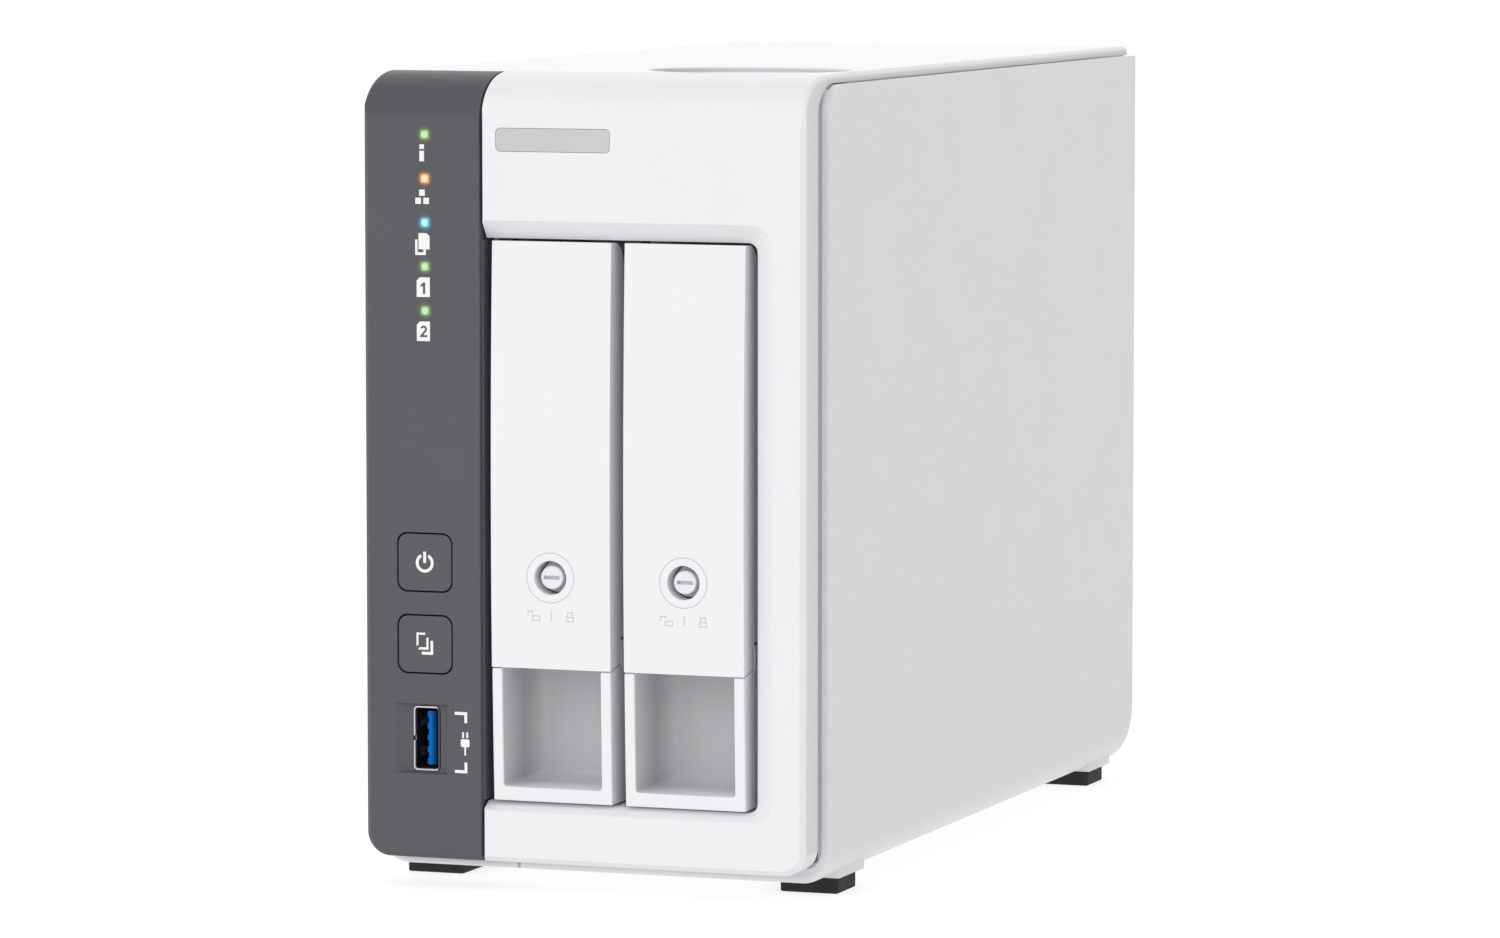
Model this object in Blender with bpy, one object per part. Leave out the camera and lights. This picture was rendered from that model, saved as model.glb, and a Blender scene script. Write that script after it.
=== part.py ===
"""Two-bay desktop network storage unit, standing on four rubber feet.

Numbers are millimetres and are scaled to metres when an object is made. X runs to the right seen
from the front and Z up. While a shape is drawn, Y is the depth behind the plane of the front bezel;
finish() then moves it so that the middle of the unit stands over the origin.
"""

import math

import bmesh
import bpy
from mathutils import Matrix, Vector

# Whole unit
WIDTH = 98.0
DEPTH = 218.7
HEIGHT = 165.0
MM = 0.001
GAP = 0.3

# Core: the bezel, the control strip and the top cover share one outline
CORE_HALF = 47.14
CORE_BOTTOM = 6.2
CORE_TOP_RADIUS = 1.2
CORE_BOTTOM_RADIUS = 5.0
EDGE_RADIUS = 1.3
SKIN = 2.2
BROW_DEPTH = 15.0
BROW_HEIGHT = 10.0
BROW_POWER = 2.3
CROWN = 0.35
CROWN_DEPTH = 35.0
BEZEL_SIDE_DEPTH = 7.9
STEP_TURN = 4.0
STEP_TOP = 162.8
BEZEL_DEPTH = 13.0
GROOVE_HALF = 45.3
SKIRT_HALF = 43.8
SKIRT_DEPTH = 19.5
SKIRT_TOP = 149.5

# Outer cover
COVER_HALF = WIDTH / 2
COVER_WALL = 1.55
COVER_FRONT = 10.7
COVER_BOTTOM = 3.3
COVER_TOP = 163.2
COVER_FLOOR = 2.2
COVER_CORNER = 6.5
COVER_REAR_CORNER = 6.0
CORNER_DEPTH, CORNER_DROP, CORNER_POWER = 5.6, 4.4, 1.8
FLANGE_START = 1.2
FLANGE_END = 2.6
FLANGE_INSIDE = 45.75
FLANGE_FLOOR = 7.6
TOP_WALL_HALF = 46.9
PAD_INNER = 33.6
PAD_OUTER = 47.3
PAD_FRONTS = (20.4, 191.0)
PAD_DEPTH = 15.4
PAD_TOP = 5.8

# Feet
FOOT_SIZE = (12.4, 11.6)
FOOT_SIDE = 40.6
FOOT_TOP = 3.6

# Control strip
STRIP_RIGHT = -21.95
BEZEL_LEFT = -21.4
LIGHT_X = -33.73
LIGHT_SIZE = 1.87
LIGHT_HEIGHTS = (152.47, 143.6, 134.77, 125.94, 117.07)
LIGHT_NAMES = ("status", "network", "copy", "disk_1", "disk_2")
BUTTON_X = -34.03
BUTTON_SIZE = 11.44
BUTTON_RADIUS = 2.0
BUTTON_TRAVEL = 0.8
POWER_Z = 66.28
COPY_Z = 49.71
FRONT_USB = (-34.12, 30.48)
CONTROL_BOARD_Y = 15.6

# Drive bays
BAY_X = (-6.88, 21.52)
BAY_PITCH = BAY_X[1] - BAY_X[0]
TRAY_WIDTH = 25.5
TRAY_BOTTOM = 18.64
TRAY_TOP = 131.4
THROAT = (-21.3, 36.29, 18.25, 131.86)
CHAMFER_DEPTH = 2.71
CHAMFER = (3.95, 1.63, 3.65)
TUNNEL_DEPTH = 16.5
TRAY_SAG = 1.13
SEAM_Z = 45.7
SEAM_RISE = 1.17
HANDLE_DEPTH = 6.0
HINGE = (3.4, 122.5)
LOCK_Z = 64.11
LOCK_RADIUS = 3.45
WELL_DEPTH = 16.8
WELL_HALF = 10.55
WELL_FLOOR = 21.5
WELL_CEILING = 50.0
TRAY_BACK = 18.3
TRAY_LENGTH = 166.5
RAIL_LEFT = -13.4
RAIL_RIGHT = 13.2
BOTTOM_RAIL_TOP = 23.6
TOP_RAIL_BOTTOM = 126.4
DRIVE_SIZE = (25.4, 147.0, 101.6)
DRIVE_START = (-12.1, 18.7, 24.0)

# Drive cage and boards
CAGE_FRONT = 17.0
CAGE_REAR = 174.7
CAGE_WALL = 0.8
BACKPLANE_Y = 175.0
BOARD = 1.6
MAINBOARD_X = -44.6
MAINBOARD_FRONT = 22.0

# Rear
REAR_PANEL_Y = 214.6
REAR_PANEL = 1.2
FAN_SIZE = 70.0
FAN_DEPTH = 15.0
FAN_AT = (10.5, 98.0)
FAN_REAR = REAR_PANEL_Y - GAP
FAN_HOLES = 30.5
PORT_X = -36.0
SOCKET_HEIGHTS = {"dc_jack": 26.0, "ethernet_1": 44.0, "ethernet_2": 63.0, "usb_1": 84.0, "usb_2": 101.0}
RESET_Z = 118.0


# ---------------------------------------------------------------- shapes


def shape(bm):
    """A loose mesh object in millimetres with its faces pointing out, ready for Booleans."""
    bmesh.ops.remove_doubles(bm, verts=bm.verts, dist=1e-5)
    bmesh.ops.recalc_face_normals(bm, faces=bm.faces)
    mesh = bpy.data.meshes.new("shape")
    bm.to_mesh(mesh)
    bm.free()
    made = bpy.data.objects.new("shape", mesh)
    bpy.context.scene.collection.objects.link(made)
    return made


def loft(rings):
    """A closed solid through rings of equal length, with flat ends."""
    bm = bmesh.new()
    rows = [[bm.verts.new(point) for point in ring] for ring in rings]
    count = len(rows[0])
    for near, far in zip(rows, rows[1:]):
        for i in range(count):
            j = (i + 1) % count
            bm.faces.new((near[i], near[j], far[j], far[i]))
    bm.faces.new(rows[0])
    bm.faces.new(rows[-1])
    return shape(bm)


def prism(outline, axis, start, end):
    """An outline extruded along an axis. It holds (x, z) points for Y, (y, z) for X and (x, y) for Z."""
    place = {
        "X": lambda u, v, w: (w, u, v),
        "Y": lambda u, v, w: (u, w, v),
        "Z": lambda u, v, w: (u, v, w),
    }[axis]
    return loft([[place(u, v, w) for u, v in outline] for w in (start, end)])


def block(low, high):
    corners = [(low[0], low[1]), (high[0], low[1]), (high[0], high[1]), (low[0], high[1])]
    return prism(corners, "Z", low[2], high[2])


def arc(centre, radius, start, end, steps):
    """Points on an arc, angles in degrees from the first axis."""
    turns = [math.radians(start + (end - start) * i / steps) for i in range(steps + 1)]
    return [(centre[0] + radius * math.cos(t), centre[1] + radius * math.sin(t)) for t in turns]


def rounded(left, right, bottom, top, radius, steps=4):
    """A rectangle with four equal round corners, counterclockwise from the lower right."""
    return (
        arc((right - radius, bottom + radius), radius, -90, 0, steps)
        + arc((right - radius, top - radius), radius, 0, 90, steps)
        + arc((left + radius, top - radius), radius, 90, 180, steps)
        + arc((left + radius, bottom + radius), radius, 180, 270, steps)
    )


def circle(centre, radius, steps=24):
    return arc(centre, radius, 0, 360 - 360 / steps, steps - 1)


def rod(axis, centre, radius, start, end, steps=24):
    return prism(circle(centre, radius, steps), axis, start, end)


def turned_y(profile, centre, steps=24):
    """A solid turned about a line along Y through centre (x, z); profile holds (radius, y) pairs."""
    return loft([[(x, y, z) for x, z in circle(centre, radius, steps)] for radius, y in profile])


def combine(base, tools, operation):
    """Applies each tool to the base with a Boolean and removes the tools."""
    for tool in tools:
        modifier = base.modifiers.new("combine", "BOOLEAN")
        modifier.operation = operation
        modifier.object = tool
    bpy.context.view_layer.update()
    graph = bpy.context.evaluated_depsgraph_get()
    old = base.data
    base.data = bpy.data.meshes.new_from_object(base.evaluated_get(graph))
    base.modifiers.clear()
    bpy.data.meshes.remove(old)
    for tool in tools:
        bpy.data.objects.remove(tool)
    return base


def cut(base, *tools):
    return combine(base, tools, "DIFFERENCE")


def join(base, *tools):
    return combine(base, tools, "UNION")


def material(name, colour, roughness, metallic=0.0):
    made = bpy.data.materials.new(name)
    made.use_nodes = True
    shader = made.node_tree.nodes["Principled BSDF"]
    shader.inputs["Base Color"].default_value = (*colour, 1.0)
    shader.inputs["Roughness"].default_value = roughness
    shader.inputs["Metallic"].default_value = metallic
    return made


def finish(made, name, finish_material, pivot=None, parent=None):
    """Names a shape, scales it to metres and puts its origin on the pivot (x, y behind the bezel, z)."""
    centre = Vector(pivot) if pivot else Vector((0.0, DEPTH / 2, 0.0))
    made.data.transform(Matrix.Scale(MM, 4) @ Matrix.Translation(-centre))
    made.name = name
    made.data.name = name
    made.data.materials.clear()
    made.data.materials.append(finish_material)
    made.data.shade_smooth()
    made.data.set_sharp_from_angle(angle=math.radians(30))
    place = (centre - Vector((0.0, DEPTH / 2, 0.0))) * MM
    if parent:
        place -= parent.matrix_world.translation
        made.parent = parent
    made.location = place
    bpy.context.view_layer.update()
    return made


# ---------------------------------------------------------------- shared outlines


def core_top(y):
    """Height of the core at a depth: the brow rises over the front edge, then a slight crown follows."""
    drop = 0.0
    if y < BROW_DEPTH:
        drop = BROW_HEIGHT * (1 - (1 - ((BROW_DEPTH - y) / BROW_DEPTH) ** BROW_POWER) ** (1 / BROW_POWER))
    return HEIGHT - drop - CROWN * max(0.0, 1 - y / CROWN_DEPTH) ** 2


def edge_inset(y, radius):
    """How far a rounded front edge lies inside the outline at a depth."""
    if y >= radius:
        return 0.0
    return radius - math.sqrt(radius**2 - (radius - y) ** 2)


def core_depths(end):
    """Depths of the sections, closer together where the brow is steep."""
    depths = [0.0, 0.1, 0.4, 0.8, 1.3, 2.2, 3.6, 5.6, 7.9, 10.4, 13.0]
    return [y for y in depths if y < end] + [end]


def core_ring(y, left=-CORE_HALF, right=CORE_HALF, shrink=0.0):
    """Section of the core at a depth, from left to right. A side cut inside the core stays square."""
    inset = edge_inset(y, EDGE_RADIUS) + shrink
    bottom = CORE_BOTTOM + inset
    top = core_top(y) - shrink
    low = CORE_BOTTOM_RADIUS - inset
    high = CORE_TOP_RADIUS if shrink == 0 else 0.6
    points = []
    if right >= CORE_HALF:
        side = CORE_HALF - inset
        points += arc((side - low, bottom + low), low, -90, 0, 5)
        points += arc((side - high, top - high), high, 0, 90, 3)
    else:
        points += [(right - edge_inset(y, 0.6), bottom), (right - edge_inset(y, 0.6), top)]
    if left <= -CORE_HALF:
        side = -CORE_HALF + inset
        points += arc((side + high, top - high), high, 90, 180, 3)
        points += arc((side + low, bottom + low), low, 180, 270, 5)
    else:
        points += [(left + edge_inset(y, 0.5), top), (left + edge_inset(y, 0.5), bottom)]
    return [(x, y, z) for x, z in points]


def core_solid(end, **sides):
    return loft([core_ring(y, **sides) for y in core_depths(end)])


def groove_line():
    """Front edge of the step that the outer cover reaches into, as (depth, height) from the bottom up."""
    centre = (BEZEL_SIDE_DEPTH + STEP_TURN, STEP_TOP - STEP_TURN)
    return [(BEZEL_SIDE_DEPTH, 8.0)] + arc(centre, STEP_TURN, 180, 90, 5)


def groove_tools():
    """The step behind the bezel's side walls and along its bottom."""
    back = SKIRT_DEPTH + 1
    outline = groove_line() + [(back, STEP_TOP), (back, -5.0), (BEZEL_SIDE_DEPTH, -5.0)]
    return [
        prism(outline, "X", -60, -GROOVE_HALF),
        prism(outline, "X", GROOVE_HALF, 60),
        block((-GROOVE_HALF - 1, BEZEL_SIDE_DEPTH, -5), (GROOVE_HALF + 1, back, CORE_BOTTOM + 1.8)),
    ]


def core_cavity(left, right):
    """The hollow behind the front skin, open to the rear."""
    depths = [SKIN, 3.6, 5.6, 7.9, 10.4, 13.0, 14.0]
    return loft(
        [
            [(left, y, 9.4), (right, y, 9.4), (right, y, core_top(y) - SKIN), (left, y, core_top(y) - SKIN)]
            for y in depths
        ]
    )


# ---------------------------------------------------------------- enclosure


def front_bezel(white):
    bezel = core_solid(BEZEL_DEPTH, left=BEZEL_LEFT)
    cut(bezel, core_cavity(-20.2, SKIRT_HALF), *groove_tools())
    left, right, bottom, top = THROAT
    wall = 1.6
    join(
        bezel,
        block((BEZEL_LEFT + 0.05, 1.5, bottom - wall), (right + wall, TUNNEL_DEPTH, top + wall)),
        block((left - wall, 8.3, bottom - wall), (left + 2, TUNNEL_DEPTH, top + wall)),
        block((-43.4, 8.3, 9.8), (-21.0, 10.3, 158.0)),
        block((SKIRT_HALF, 5.0, 8.4), (GROOVE_HALF, SKIRT_DEPTH, SKIRT_TOP)),
        block((-19.0, 5.0, 8.0), (GROOVE_HALF, SKIRT_DEPTH, 9.4)),
    )
    side, low, high = CHAMFER
    chamfer = loft(
        [
            [(x, y, z) for x, z in rounded(-30, right + side * s, bottom - low * s, top + high * s, 2.0 + 2.0 * s)]
            for y, s in ((-0.1, 1.037), (CHAMFER_DEPTH, 0.0))
        ]
    )
    cut(
        bezel,
        chamfer,
        prism(rounded(-30, right, bottom, top, 2.0), "Y", 2.6, 8.25),
        block((left, 8.2, bottom), (right, TUNNEL_DEPTH + 1, top)),
        block((-42.4, 7.5, 20), (-24.4, 11, 157)),
        block((-18.5, -1, 149.2), (6.2, 0.6, 154.1)),
    )
    return finish(bezel, "front_bezel", white)


def control_panel(grey):
    panel = core_solid(BEZEL_DEPTH, right=STRIP_RIGHT)
    open_side = block((-26, BEZEL_SIDE_DEPTH, -5), (-20, BEZEL_DEPTH + 1, 160.2))
    cut(panel, core_cavity(-SKIRT_HALF, -23.8), open_side, *groove_tools())
    join(
        panel,
        block((-GROOVE_HALF, 5.0, 8.4), (-SKIRT_HALF, SKIRT_DEPTH, SKIRT_TOP)),
        block((-GROOVE_HALF, 5.0, 8.0), (-22.4, SKIRT_DEPTH, 9.4)),
    )
    half = BUTTON_SIZE / 2 + 0.22
    holes = [
        prism(rounded(BUTTON_X - half, BUTTON_X + half, z - half, z + half, BUTTON_RADIUS + 0.2), "Y", -1, 4)
        for z in (POWER_Z, COPY_Z)
    ]
    pipe = LIGHT_SIZE / 2 + 0.12
    holes += [block((LIGHT_X - pipe, -1, z - pipe), (LIGHT_X + pipe, 4, z + pipe)) for z in LIGHT_HEIGHTS]
    x, z = FRONT_USB
    scoop = [(x - 7.2, -0.2), (x + 5.2, -0.2), (x + 3.3, 1.0), (x - 3.3, 1.0)]
    holes.append(prism(scoop, "Z", z - 7.2, z + 7.2))
    holes.append(block((x - 3.05, -1, z - 6.75), (x + 3.05, 4, z + 6.75)))
    cut(panel, *holes)
    return finish(panel, "control_panel", grey)


def top_section(y, wall):
    """Section of the top cover; its side walls step in to the given half width under the outer cover."""
    top = core_top(y)
    radius = CORE_TOP_RADIUS
    step = 162.6 + 0.85 * min(1.0, (y - BEZEL_DEPTH) / 9.0)
    right = [(SKIRT_HALF, 150.0), (wall, 150.0), (wall, step), (CORE_HALF, step)]
    outer = right + arc((CORE_HALF - radius, top - radius), radius, 0, 90, 4)
    outer += [(-x, z) for x, z in reversed(outer)]
    inner = [(-SKIRT_HALF, top - SKIN), (SKIRT_HALF, top - SKIN)]
    return [(x, y, z) for x, z in outer + inner]


def top_cover(white):
    front = [top_section(y, GROOVE_HALF) for y in (BEZEL_DEPTH + GAP, 16, 19, 22)]
    middle = [top_section(y, TOP_WALL_HALF) for y in (25, 28, CROWN_DEPTH, 200)]
    cover = loft(front + middle + [top_section(y, CORE_HALF - 0.02) for y in (202, 218.2)])
    turns = [math.radians(15 * i) for i in range(24)]
    recess = [(24.2 + 21.0 * math.cos(t), 32.5 + 17.5 * math.sin(t)) for t in turns]
    cut(cover, prism(recess, "Z", 163.9, 166.0))
    return finish(cover, "top_cover", white)


def cover_bottom(y):
    """Height of the outer cover's underside, which turns up at the rear."""
    start = DEPTH - COVER_REAR_CORNER
    if y <= start:
        return COVER_BOTTOM
    return COVER_BOTTOM + COVER_REAR_CORNER - math.sqrt(COVER_REAR_CORNER**2 - (y - start) ** 2)


def cover_edge(depth):
    """Height of the outer cover's upper edge at a depth behind its front."""
    rise = min(1.0, max(0.0, (CORNER_DEPTH - depth) / CORNER_DEPTH))
    return COVER_TOP - CORNER_DROP * (1 - (1 - rise**CORNER_POWER) ** (1 / CORNER_POWER))


def cover_ring(y):
    """U-shaped section of the outer cover at a depth: outside path, then inside path back.

    Its front edge steps back and turns inwards as a flange, which closes the groove behind the front.
    """
    depth = y - COVER_FRONT
    inset = edge_inset(depth, 1.2)
    bottom = cover_bottom(y) + inset
    top = cover_edge(depth)
    side = COVER_HALF - inset
    low = COVER_CORNER - inset
    inside = COVER_HALF - COVER_WALL
    floor = cover_bottom(y) + COVER_FLOOR
    turn = 4.5
    if depth <= FLANGE_START:
        inside, floor, turn = CORE_HALF - 0.2, CORE_BOTTOM + 0.2, 3.6
    elif depth <= FLANGE_END:
        inside, floor, turn = FLANGE_INSIDE, FLANGE_FLOOR, 0.8
    outer = (
        [(-side, top)]
        + arc((low - side, bottom + low), low, 180, 270, 6)
        + arc((side - low, bottom + low), low, 270, 360, 6)
        + [(side, top)]
    )
    inner = (
        [(inside, top)]
        + arc((inside - turn, floor + turn), turn, 360, 270, 4)
        + arc((turn - inside, floor + turn), turn, 270, 180, 4)
        + [(-inside, top)]
    )
    return [(x, y, z) for x, z in outer + inner]


def outer_cover(white):
    flange = [FLANGE_START, FLANGE_START + 0.02, FLANGE_END, FLANGE_END + 0.02]
    front = [COVER_FRONT + d for d in [0.0, 0.3, 0.7] + flange + [3.4, 4.4, CORNER_DEPTH]]
    rear = [DEPTH - COVER_REAR_CORNER * s for s in (1.0, 0.66, 0.38, 0.16, 0.04, 0.0)]
    cover = loft([cover_ring(y) for y in front + rear])
    pads = []
    recesses = []
    half_x, half_y = FOOT_SIZE[0] / 2 + 0.2, FOOT_SIZE[1] / 2 + 0.2
    for side in (-1, 1):
        for start in PAD_FRONTS:
            x0, x1 = sorted((side * PAD_INNER, side * PAD_OUTER))
            pads.append(block((x0, start, COVER_BOTTOM), (x1, start + PAD_DEPTH, PAD_TOP)))
            centre = side * FOOT_SIDE, start + 0.3 + half_y
            recesses.append(
                block((centre[0] - half_x, centre[1] - half_y, 0), (centre[0] + half_x, centre[1] + half_y, 3.9))
            )
    join(cover, *pads)
    vents = [block((-24 + 12 * i, 70, 0), (-20 + 12 * i, 150, 7)) for i in range(5)]
    notch = block((-18.5, 10, 2), (-17.7, 12.4, 7))
    cut(cover, *recesses, *vents, notch)
    return finish(cover, "outer_cover", white)


def feet(rubber):
    half_x, half_y = FOOT_SIZE[0] / 2, FOOT_SIZE[1] / 2
    for start, row in zip(PAD_FRONTS, ("front", "rear")):
        for side, hand in ((-1, "left"), (1, "right")):
            x, y = side * FOOT_SIDE, start + 0.5 + half_y
            outline = rounded(x - half_x, x + half_x, y - half_y, y + half_y, 0.8, 2)
            finish(prism(outline, "Z", 0.0, FOOT_TOP), f"foot_{row}_{hand}", rubber)


def name_plate(silver):
    outline = rounded(-18.34, 6.02, 149.35, 153.95, 1.0, 3)
    return finish(prism(outline, "Y", 0.02, 0.45), "name_plate", silver)


# ---------------------------------------------------------------- control strip


def push_button(name, z, grey):
    """A square cap with a retaining flange behind the strip and a stem towards its switch."""
    half = BUTTON_SIZE / 2
    cap = prism(rounded(BUTTON_X - half, BUTTON_X + half, z - half, z + half, BUTTON_RADIUS), "Y", 0.0, 3.2)
    flange = block((BUTTON_X - half - 0.8, 2.6, z - half - 0.8), (BUTTON_X + half + 0.8, 3.8, z + half + 0.8))
    stem = rod("Y", (BUTTON_X, z), 1.6, 3.5, 12.6, 12)
    join(cap, flange, stem)
    return finish(cap, name, grey, pivot=(BUTTON_X, 0.0, z))


def control_strip(materials):
    push_button("power_button", POWER_Z, materials["grey"])
    push_button("copy_button", COPY_Z, materials["grey"])
    half = LIGHT_SIZE / 2
    for name, z in zip(LIGHT_NAMES, LIGHT_HEIGHTS):
        lens = materials[f"light_{name}"]
        pipe = block((LIGHT_X - half, 0.02, z - half), (LIGHT_X + half, CONTROL_BOARD_Y - GAP, z + half))
        finish(pipe, f"light_{name}", lens)
    board = block((-43.5, CONTROL_BOARD_Y, 14), (-24.5, CONTROL_BOARD_Y + BOARD, 158))
    finish(board, "control_board", materials["board"])
    for name, z in (("power_switch", POWER_Z), ("copy_switch", COPY_Z)):
        body = block((BUTTON_X - 3, 13.9, z - 3), (BUTTON_X + 3, CONTROL_BOARD_Y - GAP, z + 3))
        finish(join(body, rod("Y", (BUTTON_X, z), 1.7, 13.5, 14.5, 12)), name, materials["black"])


def usb_socket(name, centre, front, length, facing, materials, tongue_material, tongue_side):
    """A USB-A socket whose long side stands upright, with its mouth at front; facing is +1 or -1 along Y.

    The tongue lies against the side of the mouth that tongue_side (+1 or -1 along X) names.
    """
    x, z = centre
    back = front + facing * length
    start, end = sorted((front, back))
    shell = prism(rounded(x - 2.85, x + 2.85, z - 6.55, z + 6.55, 0.9, 3), "Y", start, end)
    mouth_end = back - facing * 0.6
    start, end = sorted((front - facing, mouth_end))
    cut(shell, prism(rounded(x - 2.5, x + 2.5, z - 6.2, z + 6.2, 0.6, 3), "Y", start, end))
    finish(shell, f"{name}_shell", materials["steel"])
    start, end = sorted((back - facing * 5.0, back - facing * 0.9))
    core = block((x - 2.35, start, z - 6.0), (x + 2.35, end, z + 6.0))
    low, high = sorted((x + tongue_side * 0.25, x + tongue_side * 2.05))
    start, end = sorted((front + facing * 1.2, back - facing * 2))
    join(core, block((low, start, z - 5.5), (high, end, z + 5.5)))
    finish(core, f"{name}_tongue", tongue_material)


# ---------------------------------------------------------------- drive trays


def face_depth(z):
    """Depth of the crowned tray front at a height."""
    middle = (TRAY_BOTTOM + TRAY_TOP) / 2
    return TRAY_SAG * ((z - middle) / (TRAY_TOP - middle)) ** 2


def face_line(low, high, steps):
    heights = [low + (high - low) * i / steps for i in range(steps + 1)]
    return [(face_depth(z), z) for z in heights]


def tray(number, x, materials):
    """The tray with its finger well, hinge lug, rails and side web, and what it carries."""
    half = TRAY_WIDTH / 2
    outline = face_line(TRAY_BOTTOM, SEAM_Z - GAP, 4) + [
        (6.6, SEAM_Z + SEAM_RISE - GAP),
        (6.6, WELL_CEILING + 1.5),
        (TRAY_BACK, WELL_CEILING + 1.5),
        (TRAY_BACK, TRAY_BOTTOM),
    ]
    body = prism(outline, "X", x - half, x + half)
    plate = block((x - half, WELL_DEPTH, 48), (x + half, TRAY_BACK, 131.2))
    y, z = HINGE
    lug_outline = [(WELL_DEPTH + 0.5, z - 1.65), (WELL_DEPTH + 0.5, z + 1.65)] + arc(HINGE, 1.65, 90, 270, 8)
    lug = prism(lug_outline, "X", x - 7, x + 7)
    left, right = x + RAIL_LEFT, x + RAIL_RIGHT
    top_rail = block((left, WELL_DEPTH + 0.5, TOP_RAIL_BOTTOM), (right, TRAY_LENGTH, 131.2))
    low_rail = block((left, WELL_DEPTH + 0.5, TRAY_BOTTOM), (right, TRAY_LENGTH, BOTTOM_RAIL_TOP))
    web = block((left, WELL_DEPTH + 0.5, BOTTOM_RAIL_TOP - 1), (left + 1.0, TRAY_LENGTH, TOP_RAIL_BOTTOM + 1))
    join(body, plate, lug, top_rail, low_rail, web)
    windows = [block((left - 1, start, 32), (left + 2, start + 60, 118)) for start in (28, 98)]
    well = block((x - WELL_HALF, -1, WELL_FLOOR), (x + WELL_HALF, WELL_DEPTH, WELL_CEILING))
    cut(body, well, rod("X", HINGE, 1.05, x - 8, x + 8, 16), *windows)
    tray_object = finish(body, f"tray_{number}", materials["tray"], pivot=(x, 0.0, 75.0))

    pin = rod("X", HINGE, 0.8, x - 12.0, x + 12.0, 12)
    finish(pin, f"hinge_pin_{number}", materials["steel"], (x, y, z), tray_object)

    size_x, size_y, size_z = DRIVE_SIZE
    low = Vector((x + DRIVE_START[0], DRIVE_START[1], DRIVE_START[2]))
    high = low + Vector((size_x, size_y, size_z))
    drive = block(low, high)
    lid = prism(rounded(low.y + 4, high.y - 26, low.z + 4, high.z - 4, 8, 3), "X", high.x - 0.6, high.x + 1)
    board_side = block((low.x - 1, low.y + 12, low.z + 6), (low.x + 1.2, high.y - 3, high.z - 6))
    cut(drive, lid, board_side)
    finish(drive, f"drive_{number}", materials["aluminium"], (x, low.y, 75.0), tray_object)

    handle_object = handle(number, x, materials, tray_object)
    lock(number, x, materials, handle_object)


def handle(number, x, materials, tray_object):
    """The tall flap that covers the tray, hung on the pin near its top."""
    half = TRAY_WIDTH / 2
    y, z = HINGE
    radius = 4.6
    chamfer = 0.4
    outline = (
        face_line(SEAM_Z, TRAY_TOP - chamfer, 10)
        + [(face_depth(TRAY_TOP) + chamfer, TRAY_TOP)]
        + arc((HANDLE_DEPTH - radius, TRAY_TOP - radius), radius, 78, 0, 5)
        + [(HANDLE_DEPTH, SEAM_Z + SEAM_RISE)]
    )
    flap = prism(outline, "X", x - half, x + half)
    wall = 1.8
    hollow = block((x - half + wall, 2.4, 55), (x + half - wall, 8, TRAY_TOP - 2.2))
    scoop = block((x - 7.6, y - 1.95, z - 3.5), (x + 7.6, 8, z + 3.5))
    pin_bore = rod("X", HINGE, 1.05, x - half + 0.6, x + half - 0.6, 16)
    lock_hole = rod("Y", (x, LOCK_Z), LOCK_RADIUS, -1, 8, 24)
    cut(flap, hollow, scoop, pin_bore)
    lock_seat = rod("Y", (x, LOCK_Z), 5.6, 1.6, HANDLE_DEPTH - 1.6, 20)
    join(flap, lock_seat)
    cut(flap, lock_hole)
    return finish(flap, f"handle_{number}", materials["tray"], (x, y, z), tray_object)


def lock(number, x, materials, handle_object):
    """A turning lock with a coin slot in front and a short cam inside the flap."""
    body = turned_y([(2.1, 0.9), (2.37, 1.15), (2.37, 2.6), (3.15, 2.6), (3.15, 5.6)], (x, LOCK_Z), 20)
    join(body, block((x - 2.2, 4.9, LOCK_Z - 1), (x + 2.2, 5.6, LOCK_Z + 7.0)))
    cut(body, block((x - 1.7, 0, LOCK_Z - 0.4), (x + 1.7, 1.9, LOCK_Z + 0.4)))
    finish(body, f"lock_{number}", materials["steel"], (x, 0.0, LOCK_Z), handle_object)


# ---------------------------------------------------------------- inside


def drive_cage(steel):
    """Two open-ended bays in one folded sheet, standing on two legs."""
    left, right = BAY_X[0] - 15.0, BAY_X[1] + 14.8
    cage = block((left, CAGE_FRONT, 16.6), (right, CAGE_REAR, 133.6))
    middle = (BAY_X[0] + RAIL_RIGHT + BAY_X[1] + RAIL_LEFT) / 2 + 0.1
    bays = [
        block((left + CAGE_WALL, CAGE_FRONT - 1, 17.4), (middle - CAGE_WALL / 2, CAGE_REAR + 1, 132.8)),
        block((middle + CAGE_WALL / 2, CAGE_FRONT - 1, 17.4), (right - CAGE_WALL, CAGE_REAR + 1, 132.8)),
    ]
    slots = [
        block((-60, 40 + 30 * i, 40 + 28 * j), (60, 58 + 30 * i, 56 + 28 * j)) for i in range(4) for j in range(3)
    ]
    cut(cage, *bays, *slots)
    legs = [
        block((x, CAGE_FRONT + 8, 7.2), (x + CAGE_WALL, CAGE_REAR - 8, 17.0)) for x in (left, right - CAGE_WALL)
    ]
    join(cage, *legs)
    return finish(cage, "drive_cage", steel)


def chassis(steel):
    """A folded plate: the floor under the cage and the wall that carries the mainboard."""
    outline = [
        (41.0, 6.1),
        (41.0, 6.9),
        (-40.87, 6.9),
        (-46.1, 12.13),
        (-46.1, 148.0),
        (-46.9, 148.0),
        (-46.9, 11.8),
        (-41.2, 6.1),
    ]
    plate = prism(outline, "Y", 20.0, 210.0)
    spacers = [rod("X", (y, z), 2.5, -46.5, MAINBOARD_X - GAP, 12) for y in (30, 200) for z in (20, 138)]
    join(plate, *spacers)
    return finish(plate, "chassis_plate", steel)


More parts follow.
